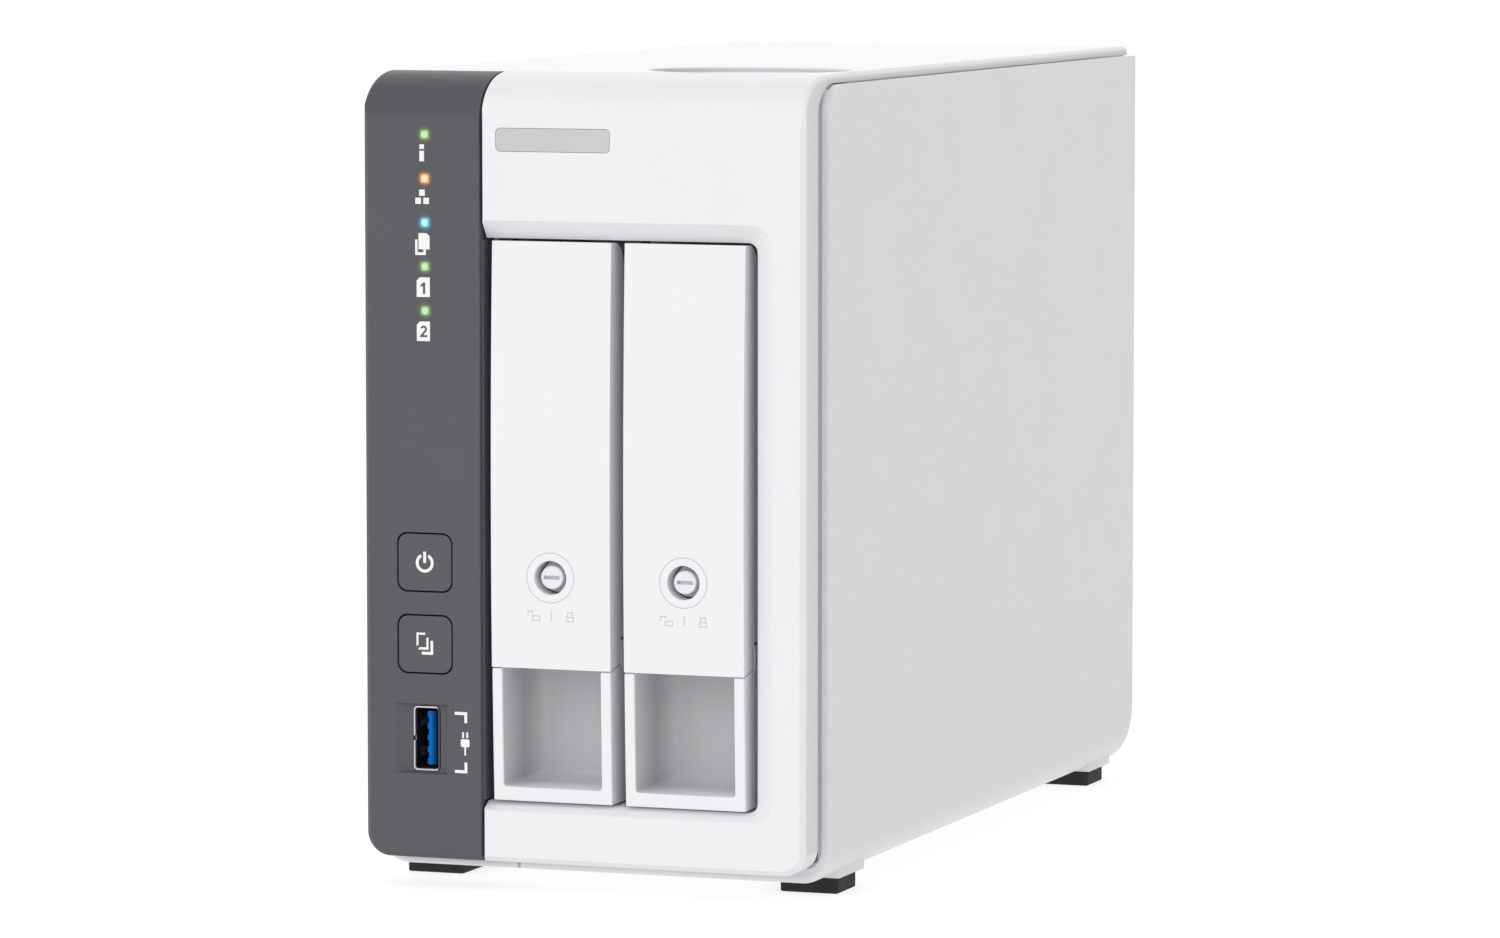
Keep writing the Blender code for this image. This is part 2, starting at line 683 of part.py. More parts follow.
def backplane(materials):
    left, right = BAY_X[0] - 15.0, BAY_X[1] + 14.8
    board = block((left, BACKPLANE_Y, 16.6), (right, BACKPLANE_Y + BOARD, 133.6))
    join(board, block((-36.0, BACKPLANE_Y, 62), (left + 1, BACKPLANE_Y + BOARD, 108)))
    windows = [
        block((x + 3.5, BACKPLANE_Y - 1, low), (x + 11.5, BACKPLANE_Y + 3, low + 40)) for x in BAY_X for low in (30, 80)
    ]
    cut(board, *windows)
    finish(board, "backplane_board", materials["board"])
    for number, x in enumerate(BAY_X, 1):
        socket = block((x - 9.6, TRAY_LENGTH + 0.2, 28), (x - 4.0, BACKPLANE_Y - GAP, 74))
        step = block((x - 8.4, TRAY_LENGTH - 1, 30), (x - 6.9, TRAY_LENGTH + 4, 72))
        finish(cut(socket, step), f"sata_socket_{number}", materials["black"])
    slot = block((-42.7, BACKPLANE_Y - 3.2, 59), (-31.0, BACKPLANE_Y + BOARD + 3.2, 111))
    groove = block((-36.4, BACKPLANE_Y - GAP, 61.6), (-30, BACKPLANE_Y + BOARD + GAP, 108.4))
    finish(cut(slot, groove), "board_slot", materials["black"])


def mainboard(materials):
    board = block((MAINBOARD_X, MAINBOARD_FRONT, 13), (MAINBOARD_X + BOARD, 213.8, 146))
    finish(board, "mainboard", materials["board"])
    face = MAINBOARD_X + BOARD + GAP
    sink = block((face, 80, 58), (face + 3, 120, 98))
    fins = [block((face + 2, 80 + 5.4 * i, 58), (face + 14, 82.4 + 5.4 * i, 98)) for i in range(7)]
    join(sink, *fins)
    finish(sink, "heatsink", materials["aluminium"])


def fan(materials):
    x, z = FAN_AT
    half = FAN_SIZE / 2
    front = FAN_REAR - FAN_DEPTH
    frame = prism(rounded(x - half, x + half, z - half, z + half, 3, 3), "Y", front, FAN_REAR)
    holes = [
        rod("Y", (x + sx * FAN_HOLES, z + sz * FAN_HOLES), 1.9, front - 1, FAN_REAR + 1, 12)
        for sx in (-1, 1)
        for sz in (-1, 1)
    ]
    cut(frame, rod("Y", FAN_AT, 33.0, front - 1, FAN_REAR + 1, 40), *holes)
    hub = rod("Y", FAN_AT, 14.0, FAN_REAR - 3.0, FAN_REAR, 24)
    struts = [
        block((x - 34, FAN_REAR - 3.0, z - 2), (x + 34, FAN_REAR, z + 2)),
        block((x - 2, FAN_REAR - 3.0, z - 34), (x + 2, FAN_REAR, z + 34)),
    ]
    join(frame, hub, *struts)
    cut(frame, rod("Y", FAN_AT, 2.2, FAN_REAR - 4, FAN_REAR - 1.2, 12))
    finish(frame, "fan_frame", materials["black"])

    rotor_rear = FAN_REAR - 3.0 - 0.8
    rotor = turned_y([(11.8, front + 0.8), (13.0, front + 2.0), (13.0, rotor_rear)], FAN_AT, 28)
    blades = []
    for i in range(7):
        rings = []
        for radius, chord, pitch in ((12.0, 8.4, 48), (22.0, 10.6, 40), (31.6, 12.4, 33)):
            run = math.radians(pitch)
            along = Vector((math.cos(run), math.sin(run)))
            across = Vector((-along.y, along.x))
            ring = []
            for a, c in ((-chord / 2, -0.5), (chord / 2, -0.5), (chord / 2, 0.5), (-chord / 2, 0.5)):
                side, depth = along * a + across * c
                ring.append((radius, (front + 0.8 + rotor_rear) / 2 + depth, side))
            rings.append(ring)
        turn = Matrix.Rotation(2 * math.pi * i / 7, 4, "Y")
        centre = Vector((x, 0, z))
        blades.append(loft([[centre + turn @ Vector(point) for point in ring] for ring in rings]))
    shaft = rod("Y", FAN_AT, 1.5, rotor_rear - 0.5, FAN_REAR - 1.6, 10)
    join(rotor, *blades, shaft)
    finish(rotor, "fan_rotor", materials["dark"], (x, (front + FAN_REAR) / 2, z))


# ---------------------------------------------------------------- rear


def rear_panel(white):
    wide = arc((45.6, 11.7), 1.5, -90, 0, 2) + [(47.1, 149.6), (43.5, 149.6)]
    outline = wide + arc((42.5, 161.4), 1.0, 0, 90, 2)
    outline += [(-u, v) for u, v in reversed(outline)]
    panel = prism(outline, "Y", REAR_PANEL_Y, REAR_PANEL_Y + REAR_PANEL)
    flanges = [
        block((side - 0.4, REAR_PANEL_Y - 8, 150.2), (side + 0.4, REAR_PANEL_Y + 0.6, 160.5)) for side in (-42.9, 42.9)
    ]
    flanges.append(block((-38, REAR_PANEL_Y - 8, 10.4), (38, REAR_PANEL_Y + 0.6, 11.2)))
    join(panel, *flanges)
    x, z = FAN_AT
    pitch = 8.3
    grille = []
    for row in range(-3, 4):
        for column in range(-3, 4):
            at = Vector((column + row / 2, row * math.sqrt(3) / 2)) * pitch
            if at.length < 3.3 * pitch:
                grille.append((x + at.x, z + at.y))
    rear = REAR_PANEL_Y + REAR_PANEL + 1
    front = REAR_PANEL_Y - 1
    holes = [prism(arc(centre, 4.0, 30, 330, 5), "Y", front, rear) for centre in grille]
    holes += [
        rod("Y", (x + sx * FAN_HOLES, z + sz * FAN_HOLES), 1.9, front, rear, 10)
        for sx in (-1, 1)
        for sz in (-1, 1)
    ]
    holes += [
        rod("Y", (side, high), 1.9, front, rear, 10) for side in (-40.5, 40.5) for high in (15.5, 155.5)
    ]
    holes.append(rod("Y", (PORT_X, RESET_Z), 1.3, front, rear, 12))
    for name, high in SOCKET_HEIGHTS.items():
        wide, tall = (6.1, 6.1) if name == "dc_jack" else (6.9, 8.2) if "ethernet" in name else (3.1, 6.8)
        holes.append(block((PORT_X - wide, front, high - tall), (PORT_X + wide, rear, high + tall)))
    holes.append(block((34.0, front, 27.0), (37.2, rear, 34.0)))
    cut(panel, *holes)
    return finish(panel, "rear_panel", white)


def network_jack(name, z, steel):
    """A network socket lying on its side, mouth to the rear, with a notch for the plug's latch."""
    rear = REAR_PANEL_Y + REAR_PANEL + 0.4
    jack = block((PORT_X - 6.7, rear - 21.3, z - 8.0), (PORT_X + 6.7, rear, z + 8.0))
    mouth = block((PORT_X - 5.2, rear - 13, z - 5.9), (PORT_X + 2.8, rear + 1, z + 5.9))
    notch = block((PORT_X + 2.0, rear - 13, z - 3.1), (PORT_X + 4.6, rear + 1, z + 3.1))
    finish(cut(jack, mouth, notch), name, steel)


def rear_sockets(materials):
    network_jack("network_jack_1", SOCKET_HEIGHTS["ethernet_1"], materials["steel"])
    network_jack("network_jack_2", SOCKET_HEIGHTS["ethernet_2"], materials["steel"])
    rear = REAR_PANEL_Y + REAR_PANEL + 0.4
    for name in ("usb_1", "usb_2"):
        centre = (PORT_X, SOCKET_HEIGHTS[name])
        usb_socket(f"rear_{name}", centre, rear, 14.4, -1, materials, materials["black"], -1)
    z = SOCKET_HEIGHTS["dc_jack"]
    jack = block((PORT_X - 5.8, rear - 13, z - 5.8), (PORT_X + 5.8, rear, z + 5.8))
    cut(jack, rod("Y", (PORT_X, z), 3.9, rear - 10, rear + 1, 20))
    join(jack, rod("Y", (PORT_X, z), 1.2, rear - 11, rear - 1.0, 12))
    finish(jack, "power_inlet", materials["black"])
    reset = turned_y([(2.0, REAR_PANEL_Y - 5.0), (2.0, REAR_PANEL_Y - 0.4)], (PORT_X, RESET_Z), 16)
    join(reset, rod("Y", (PORT_X, RESET_Z), 0.95, REAR_PANEL_Y - 1, REAR_PANEL_Y + 0.7, 12))
    finish(reset, "reset_button", materials["black"], (PORT_X, REAR_PANEL_Y, RESET_Z))


def screw(name, x, z, length, steel):
    start = REAR_PANEL_Y + REAR_PANEL + 0.1
    profile = [(1.4, start - length), (1.4, start), (3.0, start), (3.0, start + 1.0), (2.2, start + 1.7)]
    made = turned_y(profile, (x, z), 14)
    finish(made, name, steel, (x, start, z))


def screws(steel):
    x, z = FAN_AT
    corners = [(x + sx * FAN_HOLES, z + sz * FAN_HOLES) for sx in (-1, 1) for sz in (-1, 1)]
    for number, corner in enumerate(corners, 1):
        screw(f"fan_screw_{number}", *corner, 11.0, steel)
    corners = [(side, high) for side in (-40.5, 40.5) for high in (15.5, 155.5)]
    for number, corner in enumerate(corners, 1):
        screw(f"panel_screw_{number}", *corner, 6.0, steel)


def main():
    for old in list(bpy.data.objects):
        bpy.data.objects.remove(old)
    materials = {
        "white": material("white_plastic", (0.86, 0.87, 0.88), 0.38),
        "tray": material("tray_plastic", (0.84, 0.85, 0.86), 0.42),
        "grey": material("grey_plastic", (0.115, 0.119, 0.127), 0.45),
        "silver": material("silver_print", (0.55, 0.55, 0.55), 0.35, 0.6),
        "rubber": material("black_rubber", (0.02, 0.02, 0.02), 0.8),
        "steel": material("steel", (0.62, 0.63, 0.65), 0.3, 1.0),
        "aluminium": material("aluminium", (0.7, 0.71, 0.72), 0.4, 1.0),
        "black": material("black_plastic", (0.03, 0.03, 0.03), 0.5),
        "dark": material("dark_plastic", (0.05, 0.05, 0.055), 0.5),
        "board": material("circuit_board", (0.02, 0.14, 0.07), 0.5),
        "blue": material("blue_plastic", (0.0, 0.16, 0.75), 0.4),
        "light_status": material("green_lens", (0.35, 0.8, 0.2), 0.3),
        "light_network": material("orange_lens", (0.95, 0.5, 0.1), 0.3),
        "light_copy": material("blue_lens", (0.2, 0.7, 0.9), 0.3),
    }
    materials["light_disk_1"] = materials["light_status"]
    materials["light_disk_2"] = materials["light_status"]
    front_bezel(materials["white"])
    control_panel(materials["grey"])
    top_cover(materials["white"])
    outer_cover(materials["white"])
    feet(materials["rubber"])
    name_plate(materials["silver"])
    control_strip(materials)
    usb_socket("front_usb", FRONT_USB, 0.9, CONTROL_BOARD_Y - GAP - 0.9, 1, materials, materials["blue"], 1)
    for number, x in enumerate(BAY_X, 1):
        tray(number, x, materials)
    drive_cage(materials["steel"])
    chassis(materials["steel"])
    backplane(materials)
    mainboard(materials)
    fan(materials)
    rear_panel(materials["white"])
    rear_sockets(materials)
    screws(materials["steel"])


main()
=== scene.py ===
import math

import bmesh
import bpy
from mathutils import Matrix, Vector


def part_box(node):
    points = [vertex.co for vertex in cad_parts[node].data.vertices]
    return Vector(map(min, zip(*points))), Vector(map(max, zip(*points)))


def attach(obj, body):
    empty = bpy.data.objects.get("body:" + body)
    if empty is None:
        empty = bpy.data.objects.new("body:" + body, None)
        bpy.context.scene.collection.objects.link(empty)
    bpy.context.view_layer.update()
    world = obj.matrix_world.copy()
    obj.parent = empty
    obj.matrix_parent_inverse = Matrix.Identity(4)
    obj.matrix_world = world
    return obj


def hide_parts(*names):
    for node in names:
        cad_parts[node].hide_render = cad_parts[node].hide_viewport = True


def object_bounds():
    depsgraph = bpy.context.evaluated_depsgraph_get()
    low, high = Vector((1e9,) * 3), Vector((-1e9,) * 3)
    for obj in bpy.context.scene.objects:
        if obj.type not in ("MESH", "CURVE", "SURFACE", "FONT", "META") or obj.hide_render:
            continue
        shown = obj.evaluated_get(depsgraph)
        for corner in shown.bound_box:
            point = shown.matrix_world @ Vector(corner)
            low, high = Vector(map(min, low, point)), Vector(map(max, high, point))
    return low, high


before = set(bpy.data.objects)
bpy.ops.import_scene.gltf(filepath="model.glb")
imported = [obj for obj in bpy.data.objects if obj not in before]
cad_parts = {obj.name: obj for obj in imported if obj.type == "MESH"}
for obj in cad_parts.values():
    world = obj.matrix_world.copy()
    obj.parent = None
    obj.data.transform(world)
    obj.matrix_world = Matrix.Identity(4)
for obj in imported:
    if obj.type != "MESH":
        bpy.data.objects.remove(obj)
CAD_LOW, CAD_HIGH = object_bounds()

# Shapes are drawn in millimetres: X to the right, Y behind the plane of the front bezel, Z up.
MM = 0.001
FRONT_Y = CAD_LOW.y
HEIGHT = (CAD_HIGH.z - CAD_LOW.z) / MM
DEPTH = (CAD_HIGH.y - CAD_LOW.y) / MM
COVER_HALF = (CAD_HIGH.x - CAD_LOW.x) / MM / 2
GAP = 0.3


def node_box(name):
    """A CAD node's lowest and highest corner in millimetres, with Y behind the bezel's front plane."""
    low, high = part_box(name)
    shift = Vector((0.0, FRONT_Y, 0.0))
    return (low - shift) / MM, (high - shift) / MM


def node_centre(name):
    low, high = node_box(name)
    return (low + high) / 2


# ------------------------------------------------------------------ mesh tools


def placed(name, data):
    made = bpy.data.objects.new(name, data)
    bpy.context.scene.collection.objects.link(made)
    return made


def shape(bm):
    mesh = bpy.data.meshes.new("shape")
    bm.to_mesh(mesh)
    bm.free()
    return placed("shape", mesh)


def loft(rings, close_ends=True):
    bm = bmesh.new()
    rows = [[bm.verts.new(point) for point in ring] for ring in rings]
    count = len(rows[0])
    for near, far in zip(rows, rows[1:]):
        for i in range(count):
            j = (i + 1) % count
            bm.faces.new((near[i], near[j], far[j], far[i]))
    if close_ends:
        bm.faces.new(rows[0])
        bm.faces.new(rows[-1])
    bmesh.ops.remove_doubles(bm, verts=bm.verts, dist=1e-5)
    bmesh.ops.recalc_face_normals(bm, faces=bm.faces)
    return shape(bm)


def prism(outline, axis, start, end):
    """An outline along an axis: (x, z) points for Y, (y, z) for X and (x, y) for Z."""
    place = {
        "X": lambda u, v, w: (w, u, v),
        "Y": lambda u, v, w: (u, w, v),
        "Z": lambda u, v, w: (u, v, w),
    }[axis]
    return loft([[place(u, v, w) for u, v in outline] for w in sorted((start, end))])


def block(corner, opposite):
    """A box between two opposite corners, in any order."""
    low, high = zip(*(sorted(pair) for pair in zip(corner, opposite)))
    corners = [(low[0], low[1]), (high[0], low[1]), (high[0], high[1]), (low[0], high[1])]
    return prism(corners, "Z", low[2], high[2])


def arc(centre, radius, start, end, steps):
    turns = [math.radians(start + (end - start) * i / steps) for i in range(steps + 1)]
    return [(centre[0] + radius * math.cos(t), centre[1] + radius * math.sin(t)) for t in turns]


def rounded(left, right, bottom, top, radius, steps=6):
    return (
        arc((right - radius, bottom + radius), radius, -90, 0, steps)
        + arc((right - radius, top - radius), radius, 0, 90, steps)
        + arc((left + radius, top - radius), radius, 90, 180, steps)
        + arc((left + radius, bottom + radius), radius, 180, 270, steps)
    )


def grown(low, high, by, radius, steps=6):
    """The rounded outline of a box seen from the front, moved outwards."""
    return rounded(low.x - by, high.x + by, low.z - by, high.z + by, radius, steps)


def circle(centre, radius, steps=48):
    return arc(centre, radius, 0, 360 - 360 / steps, steps - 1)


def rod(axis, centre, radius, start, end, steps=48):
    return prism(circle(centre, radius, steps), axis, start, end)


def turned_y(profile, centre, steps=48, close_ends=True):
    """A profile of (radius, y) points turned about a line along Y."""
    rings = [[(x, y, z) for x, z in circle(centre, radius, steps)] for radius, y in profile]
    return loft(rings, close_ends)


def bake(made):
    """Replaces an object's mesh by its evaluated mesh and drops its modifiers."""
    bpy.context.view_layer.update()
    graph = bpy.context.evaluated_depsgraph_get()
    old = made.data
    made.data = bpy.data.meshes.new_from_object(made.evaluated_get(graph))
    made.modifiers.clear()
    bpy.data.meshes.remove(old)
    return made


def combine(base, tools, operation):
    for tool in tools:
        modifier = base.modifiers.new("combine", "BOOLEAN")
        modifier.operation = operation
        modifier.object = tool
    bake(base)
    for tool in tools:
        bpy.data.objects.remove(tool)
    return base


def cut(base, *tools):
    return combine(base, tools, "DIFFERENCE")


def join(base, *tools):
    return combine(base, tools, "UNION")


def merge(parts):
    """One object from several that needn't touch."""
    bm = bmesh.new()
    for part in parts:
        bm.from_mesh(part.data)
        bpy.data.objects.remove(part)
    return shape(bm)


def bevel(made, width, segments, angle):
    modifier = made.modifiers.new("edges", "BEVEL")
    modifier.width = width
    modifier.segments = segments
    modifier.limit_method = "ANGLE"
    modifier.angle_limit = math.radians(angle)
    modifier.use_clamp_overlap = True
    return modifier


def soften(made, width, segments=3, angle=32):
    """Rounds the sharp edges by a Bevel, after flat leftovers of the Booleans are dissolved."""
    bm = bmesh.new()
    bm.from_mesh(made.data)
    bmesh.ops.remove_doubles(bm, verts=bm.verts, dist=1e-4)
    bmesh.ops.dissolve_limit(bm, angle_limit=math.radians(0.4), verts=bm.verts, edges=bm.edges)
    bm.to_mesh(made.data)
    bm.free()
    bevel(made, width, segments, angle).miter_outer = "MITER_ARC"
    return bake(made)


def dress(made, finish, angle):
    """Gives an object its finish, and smooth shading where its faces meet at less than an angle."""
    made.data.materials.clear()
    made.data.materials.append(finish.material)
    made.data.shade_smooth()
    made.data.set_sharp_from_angle(angle=math.radians(angle))
    made.modifiers.new("normals", "WEIGHTED_NORMAL").keep_sharp = True


def piece(made, name, finish, body, replaces=(), slot=None):
    """Names a shape, moves it from millimetres into the frame, and gives it its finish and its body."""
    made.data.transform(Matrix.Translation((0.0, FRONT_Y, 0.0)) @ Matrix.Scale(MM, 4))
    made.name = name
    made.data.name = name
    dress(made, finish, 30)
    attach(made, body)
    for node in replaces:
        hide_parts(node)
    return made


# ------------------------------------------------------------------ finishes


def linear(red, green, blue):
    """An sRGB colour from 0 to 255 as linear values."""
    channels = [c / 255 for c in (red, green, blue)]
    return tuple(c / 12.92 if c <= 0.04045 else ((c + 0.055) / 1.055) ** 2.4 for c in channels)


def map_range(tree, factor, values, kind="LINEAR"):
    """A factor taken from one range to another; values holds both ranges' ends."""
    made = tree.nodes.new("ShaderNodeMapRange")
    made.interpolation_type = kind
    for key, value in zip(("From Min", "From Max", "To Min", "To Max"), values):
        made.inputs[key].default_value = value
    tree.links.new(factor, made.inputs["Value"])
    return made.outputs["Result"]


class Finish:
    """A node material and short calls to add to it."""

    def __init__(self, name, roughness=0.4, metallic=0.0):
        self.material = bpy.data.materials.new(name)
        self.material.use_nodes = True
        self.tree = self.material.node_tree
        self.nodes, self.links = self.tree.nodes, self.tree.links
        self.shader = self.nodes["Principled BSDF"]
        self.shader.inputs["Roughness"].default_value = roughness
        self.shader.inputs["Metallic"].default_value = metallic
        self.coordinates = self.nodes.new("ShaderNodeTexCoord")

    def node(self, kind, inputs=(), **settings):
        made = self.nodes.new(kind)
        for key, value in settings.items():
            setattr(made, key, value)
        for key, value in dict(inputs).items():
            made.inputs[key].default_value = value
        return made

    def vector(self, operation, first, second=None, scale=None):
        """Vector maths on values or on other nodes' outputs."""
        made = self.node("ShaderNodeVectorMath", operation=operation)
        for key, source in ((0, first), (1, second), ("Scale", scale)):
            if isinstance(source, bpy.types.NodeSocket):
                self.links.new(source, made.inputs[key])
            elif source is not None:
                made.inputs[key].default_value = source
        return made.outputs["Value" if operation in ("LENGTH", "DISTANCE") else "Vector"]

    def noise(self, scale, detail=2.0, stretch=None):
        """Noise in the object's own metres, so scale is in grains per metre."""
        made = self.node("ShaderNodeTexNoise", {"Scale": scale, "Detail": detail})
        source = self.coordinates.outputs["Object"]
        if stretch:
            mapping = self.node("ShaderNodeMapping", {"Scale": stretch})
            self.links.new(source, mapping.inputs["Vector"])
            source = mapping.outputs["Vector"]
        self.links.new(source, made.inputs["Vector"])
        return made.outputs["Fac"]

    def ramp(self, factor, stops):
        made = self.node("ShaderNodeValToRGB")
        elements = made.color_ramp.elements
        while len(elements) < len(stops):
            elements.new(0.5)
        for element, (position, colour) in zip(elements, stops):
            element.position = position
            element.color = (*colour, 1.0)
        self.links.new(factor, made.inputs["Fac"])
        return made.outputs["Color"]

    def spread(self, factor, low, high):
        """Maps a factor from about 0.3..0.7, where noise lies, to low..high."""
        return map_range(self.tree, factor, (0.3, 0.7, low, high))

    def colour(self, output):
        self.shade = output
        self.links.new(output, self.shader.inputs["Base Color"])

    def tone(self, space, axis, stops, signed=False):
        """Scales the colour by one coordinate or by its size; stops holds (value, factor) pairs, rising."""
        split = self.node("ShaderNodeSeparateXYZ")
        self.links.new(self.coordinates.outputs[space], split.inputs["Vector"])
        size = split.outputs[axis]
        if not signed:
            absolute = self.node("ShaderNodeMath", operation="ABSOLUTE")
            self.links.new(size, absolute.inputs[0])
            size = absolute.outputs["Value"]
        shade = self.shade
        base = 1.0
        for (start, before), (end, after) in zip(stops, stops[1:]):
            step = map_range(self.tree, size, (start, end, before / base, after / base))
            shade = self.vector("SCALE", shade, scale=step)
            base = after
        self.colour(shade)

    def gloss(self, level):
        self.shader.inputs["Specular IOR Level"].default_value = level

    def glow(self, output, strength):
        self.links.new(output, self.shader.inputs["Emission Color"])
        self.shader.inputs["Emission Strength"].default_value = strength

    def rough(self, output):
        self.links.new(output, self.shader.inputs["Roughness"])

    def bump(self, heights):
        """Adds bumps one on another; heights holds (factor, distance in metres)."""
        normal = None
        for factor, distance in heights:
            made = self.node("ShaderNodeBump", {"Distance": distance, "Strength": 1.0})
            self.links.new(factor, made.inputs["Height"])
            if normal:
                self.links.new(normal, made.inputs["Normal"])
            normal = made.outputs["Normal"]
        self.links.new(normal, self.shader.inputs["Normal"])


def shades(colour, spread):
    return [tuple(max(0.0, c * factor) for c in colour) for factor in (1 - spread, 1 + spread)]


def moulded(name, colour, roughness, grain=3200.0, depth=0.000004, spread=0.015):
    """Injection-moulded plastic: fine spark-eroded grain, slight flow variation in tone and gloss."""
    made = Finish(name, roughness)
    low, high = shades(colour, spread)
    made.colour(made.ramp(made.noise(38.0, 3.0), [(0.3, low), (0.7, high)]))
    fine = made.noise(grain, 2.0)
    made.rough(made.spread(made.noise(420.0, 3.0), roughness - 0.04, roughness + 0.04))
    made.bump([(fine, depth), (made.noise(55.0, 1.0), depth * 4)])
    return made


def metal(name, colour, roughness, stretch, grain=900.0, depth=0.0000003, spread=0.03):
    """Rolled or brushed metal with streaks along one direction."""
    made = Finish(name, roughness, 1.0)
    low, high = shades(colour, spread)
    streaks = made.noise(grain, 3.0, stretch)
    made.colour(made.ramp(made.noise(60.0, 4.0), [(0.3, low), (0.7, high)]))
    made.rough(made.spread(streaks, roughness - 0.05, roughness + 0.06))
    made.bump([(streaks, depth)])
    return made


def circuit_board(name):
    """Green solder mask over copper tracks."""
    made = Finish(name, 0.35)
    bricks = {"Scale": 160.0, "Mortar Size": 0.06, "Brick Width": 1.7, "Row Height": 0.45}
    tracks = made.node("ShaderNodeTexBrick", bricks)
    mapping = made.node("ShaderNodeMapping", {"Rotation": (math.radians(90), 0.0, math.radians(90))})
    made.links.new(made.coordinates.outputs["Object"], mapping.inputs["Vector"])
    made.links.new(mapping.outputs["Vector"], tracks.inputs["Vector"])
    made.colour(made.ramp(tracks.outputs["Fac"], [(0.2, linear(12, 78, 48)), (0.8, linear(40, 122, 78))]))
    made.rough(made.spread(made.noise(300.0), 0.28, 0.42))
    made.bump([(tracks.outputs["Fac"], 0.00003)])
    return made


def lens(name, core, edge):
    """A lit light pipe: bright in the middle of its square face, deeper in colour at the rim."""
    made = Finish(name, 0.3)
    offset = made.vector("SUBTRACT", made.coordinates.outputs["Generated"], (0.5, 0.5, 0.5))
    flat = made.vector("MULTIPLY", offset, (2.0, 0.0, 2.0))
    made.glow(made.ramp(made.vector("LENGTH", flat), [(0.55, core), (1.25, edge)]), 0.85)
    low, high = [c * 0.10 for c in core], [c * 0.14 for c in core]
    made.colour(made.ramp(made.noise(900.0), [(0.4, low), (0.6, high)]))
    return made


def glow_on(made, centres, colours, reach):
    """Light that the lit windows spill on the plastic round them."""
    total = None
    for centre, colour in zip(centres, colours):
        distance = made.vector("DISTANCE", made.coordinates.outputs["Object"], centre)
        level = map_range(made.tree, distance, (0.0009, reach, 1.0, 0.0), "SMOOTHERSTEP")
        tint = made.vector("SCALE", colour, scale=level)
        total = tint if total is None else made.vector("ADD", total, tint)
    made.glow(total, 0.3)


LIGHTS = {
    "light_status": ((212, 244, 181), (114, 164, 88)),
    "light_network": ((255, 234, 187), (226, 142, 70)),
    "light_copy": ((201, 252, 255), (66, 170, 214)),
    "light_disk_1": ((207, 240, 177), (114, 164, 88)),
    "light_disk_2": ((207, 240, 177), (114, 164, 88)),
}

WHITE = moulded("white_moulding", linear(233, 234, 236), 0.42, spread=0.006)
COVER = moulded("white_cover", linear(223, 224, 226), 0.45, grain=2600.0, depth=0.000005, spread=0.006)
TRAY = moulded("white_tray", linear(235, 236, 238), 0.42, spread=0.006)
# A copy of the tray plastic for the finger wells' faces, which the painted shade below darkens.
WELL_PAINTED_SHADE = moulded("white_tray_painted_well_shade", linear(235, 236, 238), 0.42, spread=0.006)
GREY = moulded("grey_strip", linear(91, 92, 96), 0.46, grain=4200.0, depth=0.000005, spread=0.02)
KEYS = moulded("grey_key", linear(91, 92, 96), 0.44, grain=4200.0, depth=0.000004, spread=0.02)
RUBBER = moulded("black_rubber", linear(26, 26, 27), 0.75, grain=2200.0, depth=0.00002, spread=0.12)
BLACK = moulded("black_plastic", linear(28, 28, 30), 0.4, depth=0.000006, spread=0.1)
FAN_PLASTIC = moulded("fan_plastic", linear(38, 38, 41), 0.38, depth=0.000006, spread=0.1)
PRINT = moulded("white_print", linear(240, 240, 240), 0.5, spread=0.02)
SILVER = moulded("silver_print", linear(196, 197, 199), 0.35, grain=5200.0, spread=0.03)
# Grey for a thin lining laid over the top dish's sloping wall.
DISH_GREY = moulded("dish_wall_grey", linear(196, 197, 199), 0.5, spread=0.02)
# Grey for the lock guide's lines: painted shade standing for the shade in debossed grooves.
GUIDE_PAINTED_SHADE = moulded("guide_painted_groove_shade", linear(200, 201, 203), 0.45, spread=0.02)
BLUE = moulded("blue_tongue", linear(2, 108, 196), 0.32, spread=0.05)
CHIP = moulded("chip", linear(32, 33, 35), 0.5, spread=0.1)
LABEL = moulded("blank_label", linear(222, 223, 225), 0.35, spread=0.02)
STEEL = metal("rolled_steel", linear(196, 198, 201), 0.36, (1.0, 0.04, 1.0))
SHELL = metal("plated_shell", linear(208, 208, 209), 0.34, (1.0, 0.1, 1.0))
CASTING = metal("cast_aluminium", linear(172, 174, 178), 0.45, (1.0, 1.0, 1.0), grain=1500.0, depth=0.000002)
LID = metal("drive_lid", linear(198, 200, 203), 0.36, (1.0, 0.03, 1.0))
GOLD = metal("gold_contact", linear(228, 186, 96), 0.25, (1.0, 0.1, 1.0))
BOARD = circuit_board("circuit_board")
for plastic in (WHITE, COVER, TRAY, WELL_PAINTED_SHADE):
    plastic.gloss(0.3)
for plastic in (GREY, KEYS):
    plastic.gloss(0.12)
BLUE.gloss(0.05)
# Painted shade: the blue tongue is dark on its right, where it faces the shell's wall across a narrow gap.
BLUE.tone("Object", "X", [(0.0324, 0.15), (0.0330, 0.4), (0.0337, 1.0)])
# Painted shadow and painted dark reflection: a dark band on plated metal between 31.85 and 30.5 mm left of
# the middle, on the front socket shell's right lip.
SHELL.tone("Object", "X", [(-0.03185, 1.0), (-0.0316, 0.15), (-0.031, 0.15), (-0.0305, 1.0)], signed=True)
# Painted shade: the white plastic's outermost sides, beyond 47 mm from the middle, are darker.
WHITE.tone("Object", "X", [(0.04700, 1.0), (0.04712, 0.87)])
# Painted shade: white faces that turn downwards are darker.
WHITE.tone("Normal", "Z", [(-0.9, 0.86), (-0.25, 1.0)], signed=True)
